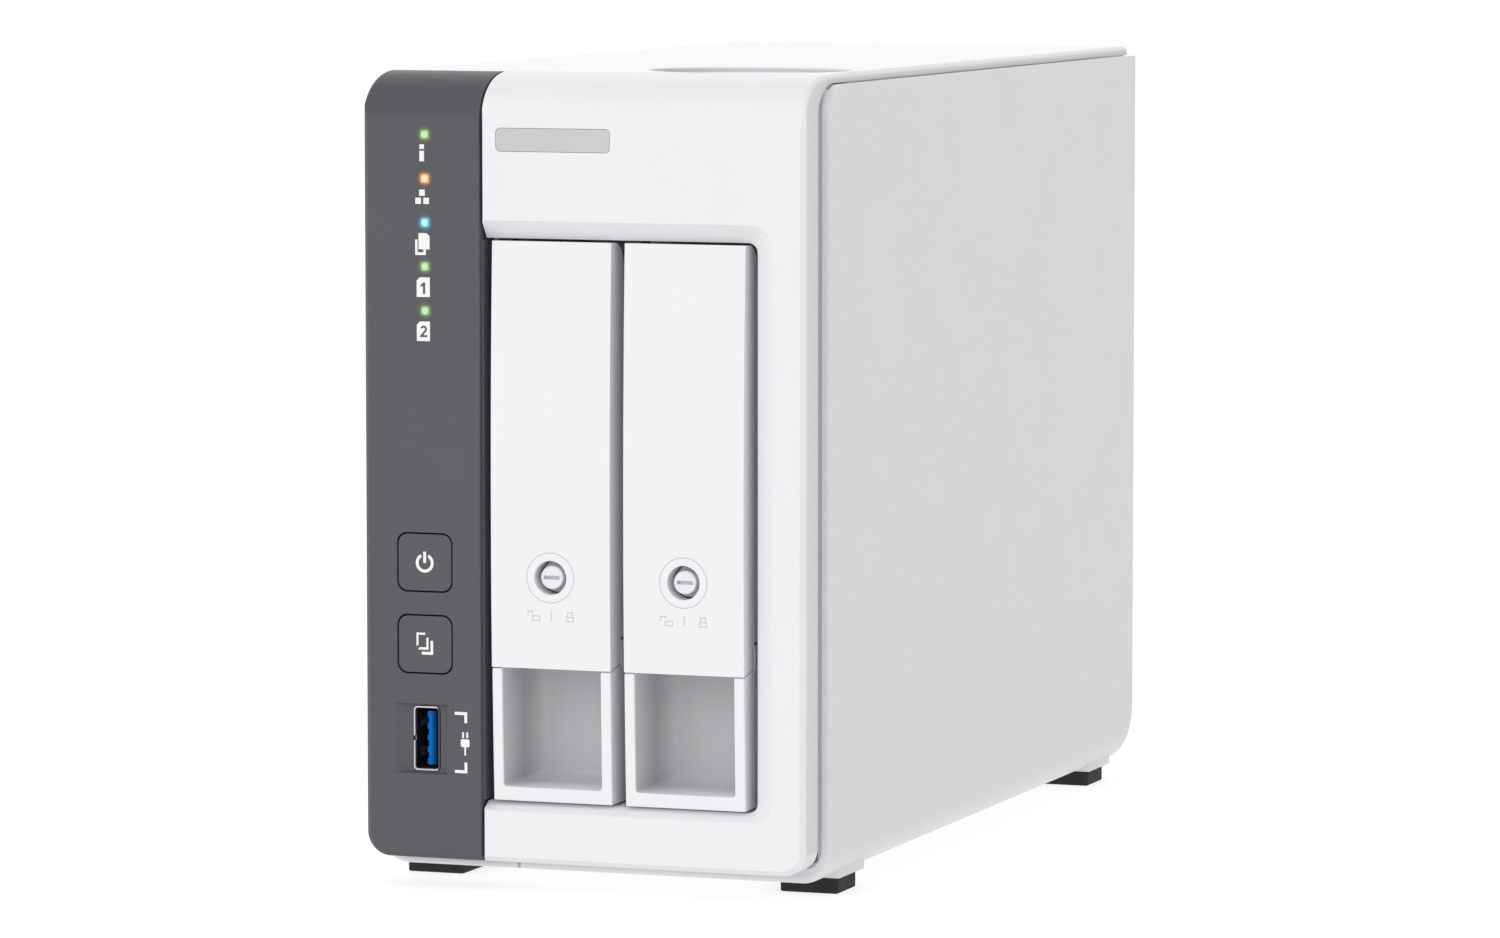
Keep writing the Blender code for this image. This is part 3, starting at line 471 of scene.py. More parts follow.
# Painted shade: the tray plastic and its well copy grow darker the deeper they lie behind the front, down
# into the finger wells.
for plastic in (TRAY, WELL_PAINTED_SHADE):
    plastic.tone("Object", "Y", [(0.0925, 0.76), (0.1010, 0.86), (0.1086, 1.0)])
# Painted shade: inside the wells, faces turned to the right are darker.
WELL_PAINTED_SHADE.tone("Normal", "X", [(0.2, 1.0), (0.95, 0.78)], signed=True)
# Painted light and shade: the grey strip's faces that tilt upwards are darker, and its flat top is lighter.
GREY.tone("Normal", "Z", [(0.05, 1.0), (0.2, 0.88), (0.97, 0.88), (1.0, 1.15)])
STRIP_GLOW = [(node_centre(name) * MM) + Vector((0.0, FRONT_Y, 0.0)) for name in LIGHTS]
for spot in STRIP_GLOW:
    spot.y = FRONT_Y
glow_on(GREY, STRIP_GLOW, [linear(*edge) for _, edge in LIGHTS.values()], 0.0019)


# ------------------------------------------------------------------ core outline


CORE_HALF = node_box("front_bezel")[1].x
CORE_BOTTOM = node_box("front_bezel")[0].z
STRIP_RIGHT = node_box("control_panel")[1].x
BEZEL_LEFT = STRIP_RIGHT + 0.55
BEZEL_DEPTH = 13.0
EDGE_CHAMFER = 1.05
SKIN = 2.2
GROOVE_Y = 7.9
STEP_TOP = 163.1
GROOVE_HALF = 45.3
SKIRT_HALF = 43.8
SKIRT_DEPTH = 19.5
SKIRT_TOP = 149.5
CROWN, CROWN_DEPTH = 0.35, 35.0

# Three upper edges that curve down to the front: how deep the curve is, its drop and its power.
BROW = (15.0, 10.0, 2.3)
STEP_TURN = (8.8, 5.2, 1.8)
CORNER = (5.6, 4.4, 1.8)


def turn_drop(depth, turn):
    """How far below its top a curved edge is, at a depth behind its front."""
    reach, drop, power = turn
    rise = min(1.0, max(0.0, (reach - depth) / reach))
    return drop * (1 - (1 - rise**power) ** (1 / power))


def turn_depths(turn, count=18):
    """The depths of the sections that draw a curved edge."""
    reach, _, power = turn
    return [reach * (1 - math.cos(math.radians(90 * i / count)) ** (2 / power)) for i in range(count + 1)]


def core_top(y):
    return HEIGHT - turn_drop(y, BROW) - CROWN * max(0.0, 1 - y / CROWN_DEPTH) ** 2


def edge_inset(y, radius):
    if y >= radius:
        return 0.0
    return radius - math.sqrt(radius**2 - (radius - y) ** 2)


def core_depths(end):
    depths = sorted(y for y in turn_depths(BROW) + [EDGE_CHAMFER] if y < end - 0.1)
    kept = [depths[0]]
    for y in depths[1:]:
        if y - kept[-1] > 0.03:
            kept.append(y)
    return kept + [end]


def core_ring(y, left=-CORE_HALF, right=CORE_HALF):
    inset = max(0.0, EDGE_CHAMFER - y)
    bottom = CORE_BOTTOM + inset
    top = core_top(y)
    low = 5.0 - inset
    high = 1.2
    points = []
    if right >= CORE_HALF:
        side = CORE_HALF - inset
        points += arc((side - low, bottom + low), low, -90, 0, 12)
        points += arc((side - high, top - high), high, 0, 90, 6)
    else:
        side = right - edge_inset(y, 0.3)
        points += [(side, bottom), (side, top)]
    if left <= -CORE_HALF:
        side = -CORE_HALF + inset
        points += arc((side + high, top - high), high, 90, 180, 6)
        points += arc((side + low, bottom + low), low, 180, 270, 12)
    else:
        side = left + edge_inset(y, 0.5)
        points += [(side, top), (side, bottom)]
    return [(x, y, z) for x, z in points]


def core_solid(end, **sides):
    return loft([core_ring(y, **sides) for y in core_depths(end)])


def step_top(y):
    return STEP_TOP - turn_drop(y - GROOVE_Y, STEP_TURN)


def step_curve(start, end):
    turns = [GROOVE_Y + y for y in turn_depths(STEP_TURN)]
    depths = [start] + [y for y in turns if start + 0.02 < y < end - 0.1] + [end]
    return [(y, step_top(y)) for y in depths]


def groove_tools():
    back = SKIRT_DEPTH + 1
    outline = [(GROOVE_Y, -5.0)] + step_curve(GROOVE_Y, back) + [(back, -5.0)]
    return [
        prism(outline, "X", -60, -GROOVE_HALF),
        prism(outline, "X", GROOVE_HALF, 60),
        block((-GROOVE_HALF - 1, GROOVE_Y, -5), (GROOVE_HALF + 1, back, CORE_BOTTOM + 1.8)),
    ]


def core_cavity(left, right):
    depths = [SKIN, 3.6, 5.6, 7.9, 10.4, 13.0, 14.0]
    return loft(
        [
            [(left, y, 9.4), (right, y, 9.4), (right, y, core_top(y) - SKIN), (left, y, core_top(y) - SKIN)]
            for y in depths
        ]
    )


# ------------------------------------------------------------------ enclosure


TRAY_BOX = node_box("tray_1")[0], node_box("tray_2")[1]
THROAT_LEFT, THROAT_RIGHT = -21.3, 36.29
THROAT_BOTTOM = TRAY_BOX[0].z - 0.39
THROAT_TOP = node_box("handle_1")[1].z + 0.46
CHAMFER_DEPTH = 2.71
CHAMFER = (3.95, 1.63, 3.65)
TUNNEL_DEPTH = 16.5


def bezel():
    made = core_solid(BEZEL_DEPTH, left=BEZEL_LEFT)
    cut(made, core_cavity(-20.2, SKIRT_HALF), *groove_tools())
    wall = 1.6
    left, right, bottom, top = THROAT_LEFT, THROAT_RIGHT, THROAT_BOTTOM, THROAT_TOP
    join(
        made,
        block((BEZEL_LEFT + 0.05, 1.5, bottom - wall), (right + wall, TUNNEL_DEPTH, top + wall)),
        block((left - wall, 8.3, bottom - wall), (left + 2, TUNNEL_DEPTH, top + wall)),
        block((-43.4, 8.3, 9.8), (-21.0, 10.3, 158.0)),
        block((SKIRT_HALF, 5.0, 8.4), (GROOVE_HALF, SKIRT_DEPTH, SKIRT_TOP)),
        block((-19.0, 5.0, 8.0), (GROOVE_HALF, SKIRT_DEPTH, 9.4)),
    )
    side, low, high = CHAMFER
    rings = []
    for y, s in ((-0.1, 1.037), (CHAMFER_DEPTH, 0.0)):
        mouth = rounded(-30, right + side * s, bottom - low * s, top + high * s, 2.0 + 2.4 * s, 12)
        rings.append([(x, y, z) for x, z in mouth])
    chamfer = loft(rings)
    plate_low, plate_high = node_box("name_plate")
    cut(
        made,
        chamfer,
        prism(rounded(-30, right, bottom, top, 2.0, 10), "Y", 2.6, 8.25),
        block((left, 8.2, bottom), (right, TUNNEL_DEPTH + 1, top)),
        block((-42.4, 7.5, 20), (-24.4, 11, 157)),
    )
    soften(made, 0.3)
    fit = 0.08
    cut(made, prism(grown(plate_low, plate_high, fit, 1.05, 8), "Y", -1, 0.6))
    return piece(made, "bezel", WHITE, "housing", ["front_bezel"], "white_plastic")


def strip():
    made = core_solid(BEZEL_DEPTH, right=STRIP_RIGHT)
    open_side = block((-26, GROOVE_Y, -5), (-20, BEZEL_DEPTH + 1, 160.2))
    cut(made, core_cavity(-SKIRT_HALF, -23.8), open_side, *groove_tools())
    join(
        made,
        block((-GROOVE_HALF, 5.0, 8.4), (-SKIRT_HALF, SKIRT_DEPTH, SKIRT_TOP)),
        block((-GROOVE_HALF, 5.0, 8.0), (-22.4, SKIRT_DEPTH, 9.4)),
        block((-22.5, 1.1, THROAT_BOTTOM + 0.4), (STRIP_RIGHT + 0.5, 6.0, THROAT_TOP - 0.4)),
    )
    holes = []
    for name in ("power_button", "copy_button"):
        centre = node_centre(name)
        holes.append(prism(grown(centre, centre, BUTTON_HALF + 0.34, 2.2, 10), "Y", -1, 4))
    for name in LIGHTS:
        low, high = node_box(name)
        holes.append(block((low.x - 0.05, -1, low.z - 0.05), (high.x + 0.05, 4, high.z + 0.05)))
    low, high = node_box("front_usb_shell")
    x, z = (low.x + high.x) / 2, (low.z + high.z) / 2
    slope_left = [(x - 7.2 + 4.0 * t / 8, 1.0 * (1 - math.cos(math.pi * t / 8)) / 2) for t in range(9)]
    slope_right = [(x + 3.2 + 2.4 * t / 8, 1.0 * (1 + math.cos(math.pi * t / 8)) / 2) for t in range(9)]
    scoop = [(x - 7.2, -0.3)] + slope_left + slope_right + [(x + 5.6, -0.3)]
    holes.append(prism(scoop, "Z", z - 7.1, z + 7.1))
    holes.append(prism(grown(low, high, 0.15, 1.2), "Y", -1, 4))
    cut(made, *holes)
    soften(made, 0.1, 2, 40)
    return piece(made, "control_strip", GREY, "housing", ["control_panel"], "grey_plastic")


def top_section(y, wall):
    top = core_top(y)
    radius = 1.2
    step = step_top(y)
    outer = [(SKIRT_HALF, 150.0), (wall, 150.0), (wall, step), (CORE_HALF, step)]
    outer += arc((CORE_HALF - radius, top - radius), radius, 0, 90, 8)
    outer += [(-x, z) for x, z in reversed(outer)]
    inner = [(-SKIRT_HALF, top - SKIN), (SKIRT_HALF, top - SKIN)]
    return [(x, y, z) for x, z in outer + inner]


def top_panel():
    front = (BEZEL_DEPTH + GAP, 14, 14.8, 15.8, GROOVE_Y + STEP_TURN[0], 19, 22)
    rings = [top_section(y, GROOVE_HALF) for y in front]
    rings += [top_section(y, 46.9) for y in (25, 28, CROWN_DEPTH, 60, 120, 200)]
    made = loft(rings + [top_section(y, CORE_HALF - 0.02) for y in (202, 218.2)])

    def oval(rx, ry, z):
        turns = [math.radians(5 * i) for i in range(72)]
        return [(24.2 + rx * math.cos(t), 32.5 + ry * math.sin(t), z) for t in turns]

    dish = loft([oval(20.2, 16.7, 163.9), oval(21.0, 17.5, 164.5), oval(21.3, 17.8, 166.0)])
    panel_rear = node_box("rear_panel")[1].y
    cut(made, dish, block((-60, panel_rear, 140), (60, DEPTH + 5, STEP_TOP - 0.1)))
    soften(made, 0.2, 3, 24)
    # A thin grey lining over the dish's sloping wall, darker than the white top round it.
    outer = [oval(20.75, 17.25, 163.85), oval(20.95, 17.45, 164.62)]
    inner = [oval(20.7, 17.2, 164.62), oval(20.3, 16.8, 163.85)]
    grey_lining = loft(outer + inner + outer[:1], close_ends=False)
    piece(grey_lining, "top_dish_grey_lining", DISH_GREY, "housing", slot="grey_plastic")
    return piece(made, "top_panel", WHITE, "housing", ["top_cover"], "white_plastic")


FLANGE_START = 1.2
FLANGE_END = 2.6
COVER_LOW = node_box("outer_cover")[0]
COVER_FRONT = COVER_LOW.y
COVER_BOTTOM = COVER_LOW.z
COVER_TOP = node_box("outer_cover")[1].z - 0.35


def cover_bottom(y):
    start = DEPTH - 6.0
    if y <= start:
        return COVER_BOTTOM
    return COVER_BOTTOM + 6.0 - math.sqrt(max(0.0, 36.0 - (y - start) ** 2))


def cover_edge(depth):
    return COVER_TOP - turn_drop(depth, CORNER)


def cover_ring(y):
    depth = y - COVER_FRONT
    inset = edge_inset(depth, 1.2)
    bottom = cover_bottom(y) + inset
    top = cover_edge(depth)
    side = COVER_HALF - inset
    low = 6.5 - inset
    inside = COVER_HALF - 1.55
    floor = cover_bottom(y) + 2.2
    turn = 4.5
    if depth <= FLANGE_START:
        inside, floor, turn = CORE_HALF - 0.2, CORE_BOTTOM + 0.2, 3.6
    elif depth <= FLANGE_END:
        inside, floor, turn = GROOVE_HALF + 0.45, 7.6, 0.8
    outer = (
        [(-side, top)]
        + arc((low - side, bottom + low), low, 180, 270, 14)
        + arc((side - low, bottom + low), low, 270, 360, 14)
        + [(side, top)]
    )
    inner = (
        [(inside, top)]
        + arc((inside - turn, floor + turn), turn, 360, 270, 6)
        + arc((turn - inside, floor + turn), turn, 270, 180, 6)
        + [(-inside, top)]
    )
    return [(x, y, z) for x, z in outer + inner]


def wrap():
    corner = turn_depths(CORNER, 12)[1:]
    edge = [0.06, 0.2, 0.4, 0.7, FLANGE_START, FLANGE_START + 0.02, FLANGE_END, FLANGE_END + 0.02]
    front = sorted([d for d in corner if min(abs(d - FLANGE_START), abs(d - FLANGE_END)) > 0.1] + edge)
    front = [0.0] + [d for i, d in enumerate(front) if i == 0 or d - front[i - 1] > 0.015]
    depths = [COVER_FRONT + d for d in front]
    depths += [DEPTH - 6.0 + 6.0 * math.sin(math.radians(10 * i)) for i in range(10)]
    made = loft([cover_ring(y) for y in depths])
    pads, pockets = [], []
    for name in FEET:
        low, high = node_box(name)
        centre = (low + high) / 2
        side = 1 if centre.x > 0 else -1
        start = low.y - 0.5
        pad_end = (side * 47.3, start + 15.4, COVER_BOTTOM + 2.5)
        pads.append(block((side * 33.6, start, COVER_BOTTOM), pad_end))
        pockets.append(block((low.x - 0.15, low.y - 0.15, 0), (high.x + 0.15, high.y + 0.15, 3.9)))
    start, end = COVER_FRONT + FLANGE_START + 0.01, COVER_FRONT + CORNER[0] + 0.8
    tab = [(start, 150)] + [(y, z - 0.15) for y, z in step_curve(start, end)] + [(end, 150)]
    tabs = [prism(tab, "X", side * (GROOVE_HALF + 0.45), side * (CORE_HALF - 0.21)) for side in (-1, 1)]
    join(made, *pads, *tabs)
    vents = [prism(rounded(-24 + 12 * i, -20 + 12 * i, 70, 150, 1.99, 8), "Z", 0, 7) for i in range(5)]
    notch = block((-18.5, 10, 2), (-17.7, 12.4, 7))
    cut(made, *pockets, *vents, notch)
    soften(made, 0.3, 3, 30)
    return piece(made, "wrap_cover", COVER, "housing", ["outer_cover"], "cover_plastic")


FEET = ("foot_front_left", "foot_front_right", "foot_rear_left", "foot_rear_right")


def feet():
    for name in FEET:
        low, high = node_box(name)
        made = prism(rounded(low.x, high.x, low.y, high.y, 0.8, 6), "Z", low.z, high.z)
        soften(made, 0.35, 3)
        ribs = [
            block((low.x + 1.6, low.y + 1.6 + 2.2 * i, -1), (high.x - 1.6, low.y + 2.6 + 2.2 * i, 0.35))
            for i in range(4)
        ]
        cut(made, *ribs)
        piece(made, name + "_pad", RUBBER, "housing", [name], "rubber")


def name_bar():
    low, high = node_box("name_plate")
    made = prism(grown(low, high, 0, 1.0, 8), "Y", low.y, high.y)
    soften(made, 0.06, 2)
    piece(made, "blank_name_bar", SILVER, "housing", ["name_plate"], "silver_trim")


# ------------------------------------------------------------------ control strip


BUTTON_HALF = 11.44 / 2


def stroke(x0, x1, z0, z1):
    """A printed bar on the front plane."""
    return block((x0, -0.02, z0), (x1, 0.01, z1))


def printed(outline):
    return prism(outline, "Y", -0.02, 0.01)


# The bay numbers 1 and 2, to the right of and above the middle of their status light.
BAY_ONE = [(-0.3, -3.17), (0.07, -3.17), (0.07, -5.48), (-0.43, -5.48)]
BAY_ONE += [(-0.43, -3.86), (-0.97, -4.08), (-0.97, -3.7)]
BAY_TWO = (
    arc((-0.31, -3.69), 0.72, 165, -38, 16)
    + [(-0.38, -4.9), (0.47, -4.9), (0.47, -5.3), (-1.09, -5.3), (-1.09, -5.05)]
    + arc((-0.31, -3.69), 0.3, -38, 165, 12)
)


def strip_marks():
    """Pictograms under the lights: an i, three squares, two pages and two numbered tags."""
    x, top = node_centre("light_status").x, node_centre("light_status").z
    marks = [stroke(x - 1.07, x - 0.07, top - low, top - high) for low, high in ((2.92, 2.0), (5.4, 3.3))]
    top = node_centre("light_network").z
    for dx, dz in ((-0.55, -2.83), (-1.38, -4.46), (0.35, -4.46)):
        marks.append(stroke(x + dx - 0.61, x + dx + 0.61, top + dz - 0.63, top + dz + 0.63))
    top = node_centre("light_copy").z
    page = [(-1.34, -2.1), (0.42, -2.1), (1.06, -2.75), (1.06, -5.35), (0.25, -5.35), (-1.34, -5.35)]
    marks.append(printed([(x + u, top + v) for u, v in reversed(page)]))
    marks.append(stroke(x - 2.07, x - 1.56, top - 6.5, top - 3.4))
    marks.append(stroke(x - 1.57, x + 0.25, top - 6.5, top - 5.95))
    marks.append(stroke(x - 0.3, x + 0.25, top - 5.96, top - 5.34))
    for name, number in (("light_disk_1", BAY_ONE), ("light_disk_2", BAY_TWO)):
        top = node_centre(name).z
        tag = [(-1.79, -6.1), (1.06, -6.1), (1.06, -2.15), (-1.1, -2.15), (-1.79, -2.85)]
        plate = printed([(x + u, top + v) for u, v in tag])
        cut(plate, prism([(x + u, top + v) for u, v in number], "Y", -0.2, 0.2))
        marks.append(plate)
    low, high = node_box("front_usb_shell")
    x, z = (low.x + high.x) / 2, (low.z + high.z) / 2 - 0.4
    for sign in (-1, 1):
        marks.append(stroke(x + 6.5, x + 9.2, z + sign * 6.2, z + sign * 5.6))
        marks.append(stroke(x + 8.6, x + 9.2, z + sign * 5.6, z + sign * 4.0))
    plug_x = x + 8.75
    marks.append(printed(rounded(plug_x - 0.95, plug_x + 0.95, z - 0.9, z + 0.7, 0.35, 4)))
    marks.append(stroke(plug_x - 0.65, plug_x - 0.25, z + 0.95, z + 2.1))
    marks.append(stroke(plug_x + 0.25, plug_x + 0.65, z + 0.95, z + 2.1))
    marks.append(stroke(plug_x - 0.18, plug_x + 0.18, z - 2.6, z - 0.9))
    piece(merge(marks), "strip_marks", PRINT, "housing", slot="white_plastic")


def front_button(name, marks):
    low, high = node_box(name)
    centre = (low + high) / 2
    x, z = centre.x, centre.z
    made = prism(grown(centre, centre, BUTTON_HALF, 2.0, 10), "Y", 0.0, 3.2)
    soften(made, 0.12, 3)
    flange = block((low.x, 2.6, low.z), (high.x, 3.8, high.z))
    join(made, flange, rod("Y", (x, z), 1.6, 3.5, high.y, 24))
    piece(made, name + "_cap", KEYS, name, [name], "grey_plastic")
    moved = merge(marks)
    moved.data.transform(Matrix.Translation((x, 0, z)))
    piece(moved, name + "_mark", PRINT, name, slot="white_plastic")


def power_mark():
    ring = arc((0, -0.1), 1.95, 118, 422, 40) + arc((0, -0.1), 1.33, 422, 118, 40)
    return [printed(ring), stroke(-0.31, 0.31, -0.1, 2.2)]


def copy_mark():
    return [
        printed([(-1.85, -0.44), (-1.42, -0.14), (-1.42, 1.9), (0.0, 1.9), (0.12, 2.33), (-1.85, 2.33)]),
        printed([(-1.5, -1.1), (0.75, -1.1), (0.75, 1.48), (0.3, 1.2), (0.3, -0.62), (-1.2, -0.62)]),
        printed([(-0.7, -2.1), (1.77, -2.1), (1.77, 0.74), (1.2, 0.74), (1.2, -1.52), (-0.7, -1.52)]),
    ]


def light_pipes():
    for name, (core, edge) in LIGHTS.items():
        low, high = node_box(name)
        made = prism(grown(low, high, 0, 0.12, 3), "Y", 0.0, high.y)
        soften(made, 0.05, 2)
        slot = {"light_network": "orange_lens", "light_copy": "cyan_lens"}.get(name, "green_lens")
        finish = lens(name + "_lit", linear(*core), linear(*edge))
        piece(made, name + "_pipe", finish, "housing", [name], slot)


def usb_socket(name, facing, side, tongue_finish, tongue_slot):
    """A socket standing upright: shell with contact springs, tongue with four contacts."""
    low, high = node_box(name + "_shell")
    x, z = (low.x + high.x) / 2, (low.z + high.z) / 2
    front, back = (low.y, high.y) if facing > 0 else (high.y, low.y)

    def lining(inset, radius, start, end):
        """A rounded bar from start behind the mouth to end before the back."""
        return prism(grown(low, high, -inset, radius), "Y", front + facing * start, back - facing * end)

    def bar(left, right, start, end, dz, half):
        """A block from start to end behind the mouth."""
        near, far = front + facing * start, front + facing * end
        return block((left, near, z + dz - half), (right, far, z + dz + half))

    shell = cut(lining(0, 0.9, 0, 0), lining(0.35, 0.6, -1, 0.6))
    windows = [bar(low.x - 1, low.x + 0.5, 2.4, 7.5, dz, 1.3) for dz in (-3.1, 3.1)]
    cut(shell, *windows, bar(x - side * 3.2, x - side * 2.2, -1, 0.8, 0, 0.5))
    soften(shell, 0.06, 2)
    springs = []
    for dz in (-3.1, 3.1):
        path = [(0.0, 2.6), (0.5, 4.4), (0.9, 6.0), (0.45, 7.6)]
        outer = [(x - side * (2.62 - u), front + facing * v) for u, v in path]
        inner = [(x - side * (2.44 - u), front + facing * v) for u, v in reversed(path)]
        springs.append(prism(outer + inner, "Z", z + dz - 0.9, z + dz + 0.9))
    liner = cut(lining(0.36, 0.6, 0.5, 1.0), lining(0.46, 0.5, -1, 1.2))
    piece(liner, name + "_liner", BLACK, "housing", slot="black_plastic")
    piece(merge([shell] + springs), name + "_housing", SHELL, "housing", [name + "_shell"], "steel")
    base_front = back - facing * 5.0
    base = block((x - 2.35, base_front, z - 6.0), (x + 2.35, back - facing * 0.9, z + 6.0))
    piece(base, name + "_base", BLACK, "housing", slot="black_plastic")
    tongue_start = (x - side * 0.05, front + facing * 1.2, z - 5.5)
    tongue = block(tongue_start, (x + side * 1.8, base_front - facing * 0.02, z + 5.5))
    soften(tongue, 0.15, 2)
    ribs = [bar(x - side * 0.3, x + side * 0.05, 1.3, 8.0, -4.8 + 2.4 * i, 0.55) for i in range(5)]
    join(tongue, *ribs)
    piece(tongue, name + "_insert", tongue_finish, "housing", [name + "_tongue"], tongue_slot)
    face = x - side * 0.05
    contacts = [bar(face - 0.06, face + 0.06, 2.0, 8.0, -3.6 + 2.4 * i, 0.5) for i in range(4)]
    piece(merge(contacts), name + "_contacts", GOLD, "housing", slot="steel")


# ------------------------------------------------------------------ drive trays


HINGE_Y, HINGE_Z, HINGE_BORE = 3.4, node_centre("hinge_pin_1").z, 1.05
LOCK_RADIUS = 3.15
WELL_DEPTH, WELL_HALF, WELL_FLOOR, WELL_CEILING = 16.8, 10.55, 21.5, 50.0


def face_depth(z):
    bottom, top = TRAY_BOX[0].z, node_box("handle_1")[1].z
    middle = (bottom + top) / 2
    return 1.13 * ((z - middle) / (top - middle)) ** 2


def face_line(low, high, steps):
    heights = [low + (high - low) * i / steps for i in range(steps + 1)]
    return [(face_depth(z), z) for z in heights]


def well_tool(x):
    """The finger well, with a wide fillet between its walls and its back."""
    radius = 4.0
    depths = [(-1.0, 0.0)]
    for i in range(9):
        turn = math.radians(90 * i / 8)
        depths.append((WELL_DEPTH - radius + radius * math.sin(turn), radius * (1 - math.cos(turn))))
    rings = []
    for y, inset in depths:
        half = WELL_HALF - inset
        outline = rounded(x - half, x + half, WELL_FLOOR + 0.5 * inset, WELL_CEILING - 0.3 * inset, 0.8, 6)
        rings.append([(u, y, v) for u, v in outline])
    return loft(rings)


def tray_front(number):
    node = f"tray_{number}"
    low, high = node_box(node)
    flap_low, flap_high = node_box(f"handle_{number}")
    left, right = flap_low.x, flap_high.x
    x = (left + right) / 2
    seam = flap_low.z
    back = 18.3
    outline = face_line(low.z, seam - GAP, 10) + [
        (6.6, seam + 1.17 - GAP),
        (6.6, WELL_CEILING + 1.5),
        (back, WELL_CEILING + 1.5),
        (back, low.z),
    ]
    body = prism(outline, "X", left, right)
    cut(body, well_tool(x))
    soften(body, 0.32, 4)
    plate = block((left, WELL_DEPTH + 0.05, 48), (right, back - 0.05, high.z))
    lug_outline = [(WELL_DEPTH + 0.5, HINGE_Z - 1.65), (WELL_DEPTH + 0.5, HINGE_Z + 1.65)]
    lug_outline += arc((HINGE_Y, HINGE_Z), 1.65, 90, 270, 16)
    lug = prism(lug_outline, "X", x - 7, x + 7)
    rail_left, rail_right = low.x, high.x
    top_rail = block((rail_left, WELL_DEPTH + 0.5, 126.4), (rail_right, high.y, high.z - 0.02))
    low_rail = block((rail_left, WELL_DEPTH + 0.5, low.z + 0.02), (rail_right, high.y, 23.6))
    web = block((rail_left, WELL_DEPTH + 0.5, 22.6), (rail_left + 1.0, high.y, 127.4))
    frame_part = join(plate, lug, top_rail, low_rail, web)
    windows = [block((rail_left - 1, start, 32), (rail_left + 2, start + 60, 118)) for start in (28, 98)]
    grooves = [
        block((rail_right - 1.2, 24, z0), (rail_right + 1, high.y - 6, z0 + 1.6)) for z0 in (20.4, 128.0)
    ]
    slots = []
    for i in range(1, 4):
        start = left + 3 + 4.4 * i
        slots.append(block((start, WELL_DEPTH - 1, 60), (start + 2.2, back + 1, 116)))
    cut(frame_part, rod("X", (HINGE_Y, HINGE_Z), HINGE_BORE, x - 8, x + 8, 24), *windows, *grooves, *slots)
    soften(frame_part, 0.25, 2)
    made = piece(merge([body, frame_part]), f"{node}_carrier", TRAY, node, [node], "tray_plastic")
    # The faces inside the finger well take the copy of the tray plastic with painted shade.
    made.data.materials.append(WELL_PAINTED_SHADE.material)
    for face in made.data.polygons:
        at = (face.center - Vector((0.0, FRONT_Y, 0.0))) / MM
        inside = abs(at.x - x) < WELL_HALF + 0.01 and WELL_FLOOR - 0.01 < at.z < WELL_CEILING + 0.01
        if inside and 1.2 < at.y < WELL_DEPTH + 0.01:
            face.material_index = 1


def guide_marks(x, z):
    """A ring round the lock, and under it an open padlock, a bar and a shut one, on the curved face: thin
    grey strips of painted shade that stand for debossed lines.
    """
    ring = [(4.93, -0.015), (5.14, -0.015), (5.14, 0.1), (4.93, 0.1), (4.93, -0.015)]
    marks = [turned_y(ring, (x, z), 64, close_ends=False)]

    def line(x0, x1, z0, z1):
        marks.append(block((x + x0, -0.015, z + z0), (x + x1, 0.1, z + z1)))

    def padlock(left, shackle):
        line(left, left + 1.7, -8.75, -8.57)
        line(left, left + 1.7, -7.85, -7.67)
        line(left, left + 0.18, -8.75, -7.67)
        line(left + 1.52, left + 1.7, -8.75, -7.67)
        line(left + shackle, left + shackle + 0.18, -7.7, -6.75)
        line(left + shackle + 1.0, left + shackle + 1.18, -7.7 + (0.5 if shackle < 0 else 0.0), -6.75)
        line(left + shackle, left + shackle + 1.18, -6.93, -6.75)

    padlock(-3.95, -0.98)
    line(0.08, 0.28, -8.7, -6.6)
    padlock(3.3, 0.26)
    for mark in marks:
        for vertex in mark.data.vertices:
            vertex.co.y += face_depth(vertex.co.z)
    return merge(marks)


def handle(number):
    node = f"handle_{number}"
    low, high = node_box(node)
    x = (low.x + high.x) / 2
    lock_z = node_box(f"lock_{number}")[0].z + LOCK_RADIUS
    depth, side_depth = high.y, high.y + 2.4
    radius, chamfer, wall = 5.3, 0.02, 1.8
    outline = (
        face_line(low.z, high.z - chamfer, 24)
        + [(face_depth(high.z) + chamfer, high.z)]
        + arc((side_depth - radius, high.z - radius), radius, 78, 0, 12)
        + [(side_depth, WELL_CEILING + 2), (depth, WELL_CEILING + 2), (depth, low.z + 1.17)]
    )
    flap = prism(outline, "X", low.x, high.x)
    hollow = block((low.x + wall, 2.4, 55), (high.x - wall, 9, high.z - 2.2))
    behind = block((low.x + wall, depth + 0.02, 50), (high.x - wall, 9.5, 140))
    scoop = block((x - 7.6, HINGE_Y - 1.95, HINGE_Z - 3.5), (x + 7.6, 8.7, HINGE_Z + 3.5))
    cut(flap, hollow, behind, scoop)
    seat = rod("Y", (x, lock_z), 5.6, 1.6, depth - 1.6, 32)
    ribs = [block((x - 11.2, 2.2, z), (x + 11.2, 4.6, z + 0.9)) for z in (78, 90, 102, 114)]
    join(flap, seat, *ribs)
    soften(flap, 0.18, 3, 34)
    cut(
        flap,
        rod("Y", (x, lock_z), 3.45, -1, 8, 64),
        rod("X", (HINGE_Y, HINGE_Z), HINGE_BORE, low.x + 0.6, high.x - 0.6, 24),
    )
    piece(guide_marks(x, lock_z), f"{node}_marks", GUIDE_PAINTED_SHADE, node, slot="tray_plastic")
    piece(flap, f"{node}_flap", TRAY, node, [node], "tray_plastic")


